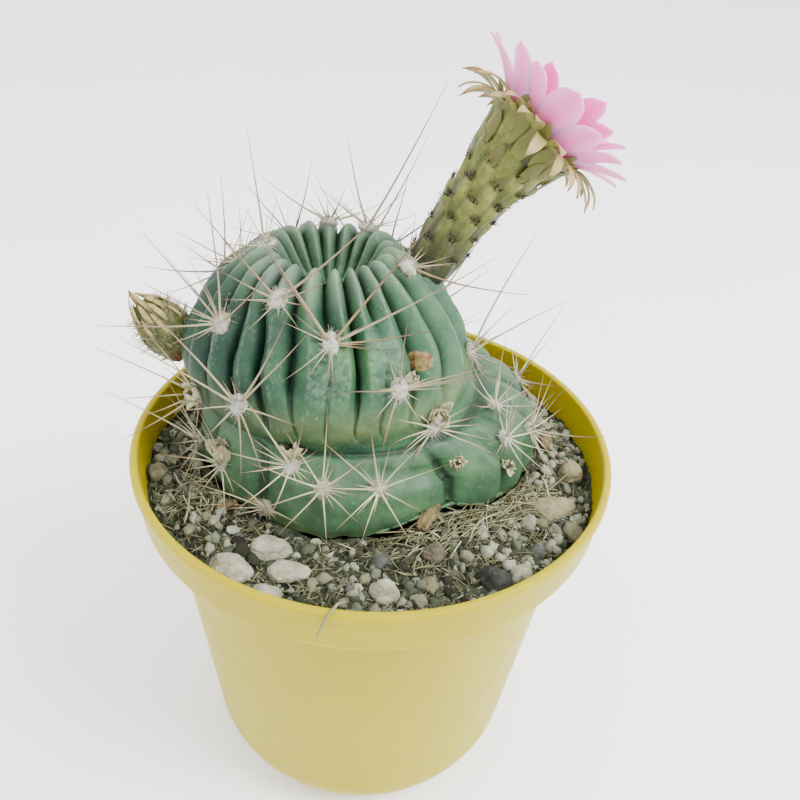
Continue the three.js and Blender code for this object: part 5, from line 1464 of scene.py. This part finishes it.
def on_soil(path, rim_room, body_room):
    x, y = path[:, 0], path[:, 1]
    return np.hypot(x, y).max() <= SOIL_REACH - rim_room and room_beside_body(x, y).min() >= body_room


def strand_piece(name, paths, widths, tones, profile, sides):
    points, faces, _, index = strands(paths, np.array(widths)[:, None] * profile, sides)
    values = {"tone": np.array(tones)[index]}
    mesh_piece(name, points, faces, fibre_paint(), values=values)


def make_fibres():
    draw = random.Random(71)
    heaps = [soil_spots(HEAP_FIBRES, draw, 0.8, heap) for heap in STRAW_HEAPS]
    spots = np.concatenate([soil_spots(FIBRES, draw, 1.0)] + heaps)
    share = np.linspace(0, 1, 7)[:, None]
    paths, tones, widths = [], [], []
    for x, y in spots:
        straw = min(math.hypot(x - heap_x, y - heap_y) for heap_x, heap_y in STRAW_HEAPS) < HEAP_REACH
        angle = draw.uniform(0, 2 * math.pi)
        length = draw.uniform(2, 7) * (1.5 if straw else 1)
        way = circle(1.0, draw.gauss(0.1, 0.16), angle)
        bow = (scatter(draw, 0.22, 0.22, 0.1) - [0, 0, 0.05]) * length
        start = [x, y, swell(x, y) + draw.uniform(0.1, 2.2 if straw else 0.8)]
        path = start + way * length * (share - 0.5) + bow * share * share
        if on_soil(path, 0.8, 0.2):
            paths.append(path)
            tones.append(np.clip(draw.gauss(0.58 if straw else 0.42, 0.24), 0, 1))
            widths.append(draw.uniform(0.09, 0.2) * (1.3 if straw else 1))
    strand_piece("soil_fibres", paths, widths, tones, [0.6, 0.95, 1, 1, 0.95, 0.8, 0.4], 3)


def make_litter():
    """Long dry strands lying along the foot of the tier, and one hanging over the rim."""
    draw = random.Random(73)
    share = np.linspace(0, 1, 9)[:, None]
    paths, tones, widths = [], [], []
    while len(paths) < LITTER_STRANDS:
        x, y = draw.uniform(*LITTER_X), draw.uniform(*LITTER_Y)
        if not 1.2 < room_beside_body(x, y) < 9:
            continue
        away = unit([x - SOIL_AXIS[0], y - SOIL_AXIS[1], 0.0])
        way = unit(np.array([-away[1], away[0], draw.gauss(0.02, 0.05)]) + away * draw.gauss(0, 0.5))
        length = draw.uniform(6, 18)
        bow = scatter(draw, 0.16, 0.16, 0.06) * length
        centre = [x, y, swell(x, y) + draw.uniform(0.8, 2.6)]
        path = centre + way * length * (share - 0.5) + bow * (2 * share - 1) ** 2
        if on_soil(path, 1, 0.3):
            paths.append(path)
            tones.append(np.clip(draw.gauss(0.62, 0.22), 0, 1))
            widths.append(draw.uniform(0.12, 0.24))
    corners = np.linspace(0, 1, len(RIM_STRAND))
    paths.append(np.stack([np.interp(share[:, 0], corners, axis) for axis in zip(*RIM_STRAND)], -1))
    tones.append(0.62)
    widths.append(0.32)
    strand_piece("soil_litter", paths, widths, tones, [0.4, 0.8, 1, 1, 1, 1, 0.9, 0.7, 0.3], 5)


def make_bark():
    ball, triangles = sphere_template(4)
    parts = []
    for number, (x, y, length, width, degrees) in enumerate(BARK_CHIPS):
        shape = np.sign(ball) * np.abs(ball) ** 0.6 * [length / 2, width / 2, 0.8]
        shape = shape + 0.4 * fractal(ball * [1, 3, 3] + number * 5.0, 1.0, 3)[:, None] * unit(ball)
        points = turned(shape, math.radians(degrees)) + shape @ CHIP_TILT + [x, y, swell(x, y) + 1.5]
        parts.append((points, triangles))
    points, faces = join_parts(parts)
    mesh_piece("bark_chips", points, [faces], bark_paint())


def make_grit():
    draw = random.Random(72)
    for name, (colors, slot, count, chosen) in GRIT.items():
        spots = soil_spots(count, draw, 1.6)
        sizes = [min(1.9, 0.7 + draw.expovariate(2.2)) for _ in spots]
        x, y, sizes = np.concatenate([np.column_stack([spots, sizes]), chosen]).T
        places = np.stack([x, y, swell(x, y) + sizes * 0.35], -1)
        points, faces, _ = grains(places, sizes, draw, 3, 0.3)
        mesh_piece(name, points, [faces], stone_paint(name, *colors))


def make_stones():
    paints = {name: stone_paint(name, *colors) for name, colors in STONE_COLORS.items()}
    ball, triangles = sphere_template(5)
    for name, (x, y, *halves, degrees, seed, slot, paint) in STONES.items():
        wander = seeded(seed)
        waves = [size * np.sin(3.6 * ball[:, i] + wander() * 6) for i, size in enumerate(STONE_WAVES)]
        lump = 1 + sum(waves)
        shape = ball * lump[:, None]
        shape = shape * (1 + 0.1 * fractal(shape + seed, 0.6, 4))[:, None] * halves
        points = turned(shape, math.radians(degrees)) + [x, y, SOIL_HEIGHT + halves[2] * 0.25]
        mesh_piece(name + "_look", points, [triangles], paints[paint], name)


make_areoles()
make_dried_flowers()
make_corolla()
make_throat()
make_tube()
make_tube_scales()
make_bud()
make_pot()
make_soil()
make_crumbs()
make_fibres()
make_litter()
make_bark()
make_grit()
make_stones()


# Floor, light and camera

FLOOR_RADIUS = 4.0
SKY_LIGHT = 2.7
LAMP_AIM = (0, 0, 0.12)
# Each lamp: place and size in metres, and power in watts
LAMPS = {
    "key": ((0.6, -0.25, 0.85), 0.5, 21.0),
    "fill": ((-0.7, -0.2, 0.6), 0.9, 2.0),
}


def make_stage():
    mesh = bpy.data.meshes.new("floor")
    mesh.from_pydata(circle(FLOOR_RADIUS, 0, round_angles(96)), [], [range(96)])
    mesh.materials.append(floor_paint())
    add_object("floor", mesh)
    world = bpy.data.worlds.new("studio")
    world.use_nodes = True
    world.node_tree.nodes["Background"].inputs["Color"].default_value = (1.0, 1.0, 1.0, 1.0)
    world.node_tree.nodes["Background"].inputs["Strength"].default_value = SKY_LIGHT
    bpy.context.scene.world = world
    for name, (place, size, power) in LAMPS.items():
        light = bpy.data.lights.new(name, "AREA")
        light.shape, light.size, light.energy = "DISK", size, power
        lamp = add_object(name, light)
        lamp.location = place
        lamp.rotation_euler = (Vector(LAMP_AIM) - Vector(place)).to_track_quat("-Z", "Y").to_euler()


def make_camera():
    forward = Vector(CAMERA_FORWARD).normalized()
    right = Vector(CAMERA_RIGHT)
    right = (right - forward * right.dot(forward)).normalized()
    lens = bpy.data.cameras.new("camera")
    lens.lens, lens.sensor_width = CAMERA_LENS, CAMERA_LENS
    lens.clip_start, lens.clip_end = 0.01, 20.0
    camera = add_object("camera", lens)
    turn = Matrix((right, right.cross(forward), -forward)).transposed()
    camera.matrix_world = Matrix.Translation(Vector(CAMERA_PLACE) * MM) @ turn.to_4x4()
    bpy.context.scene.camera = camera


make_stage()
make_camera()
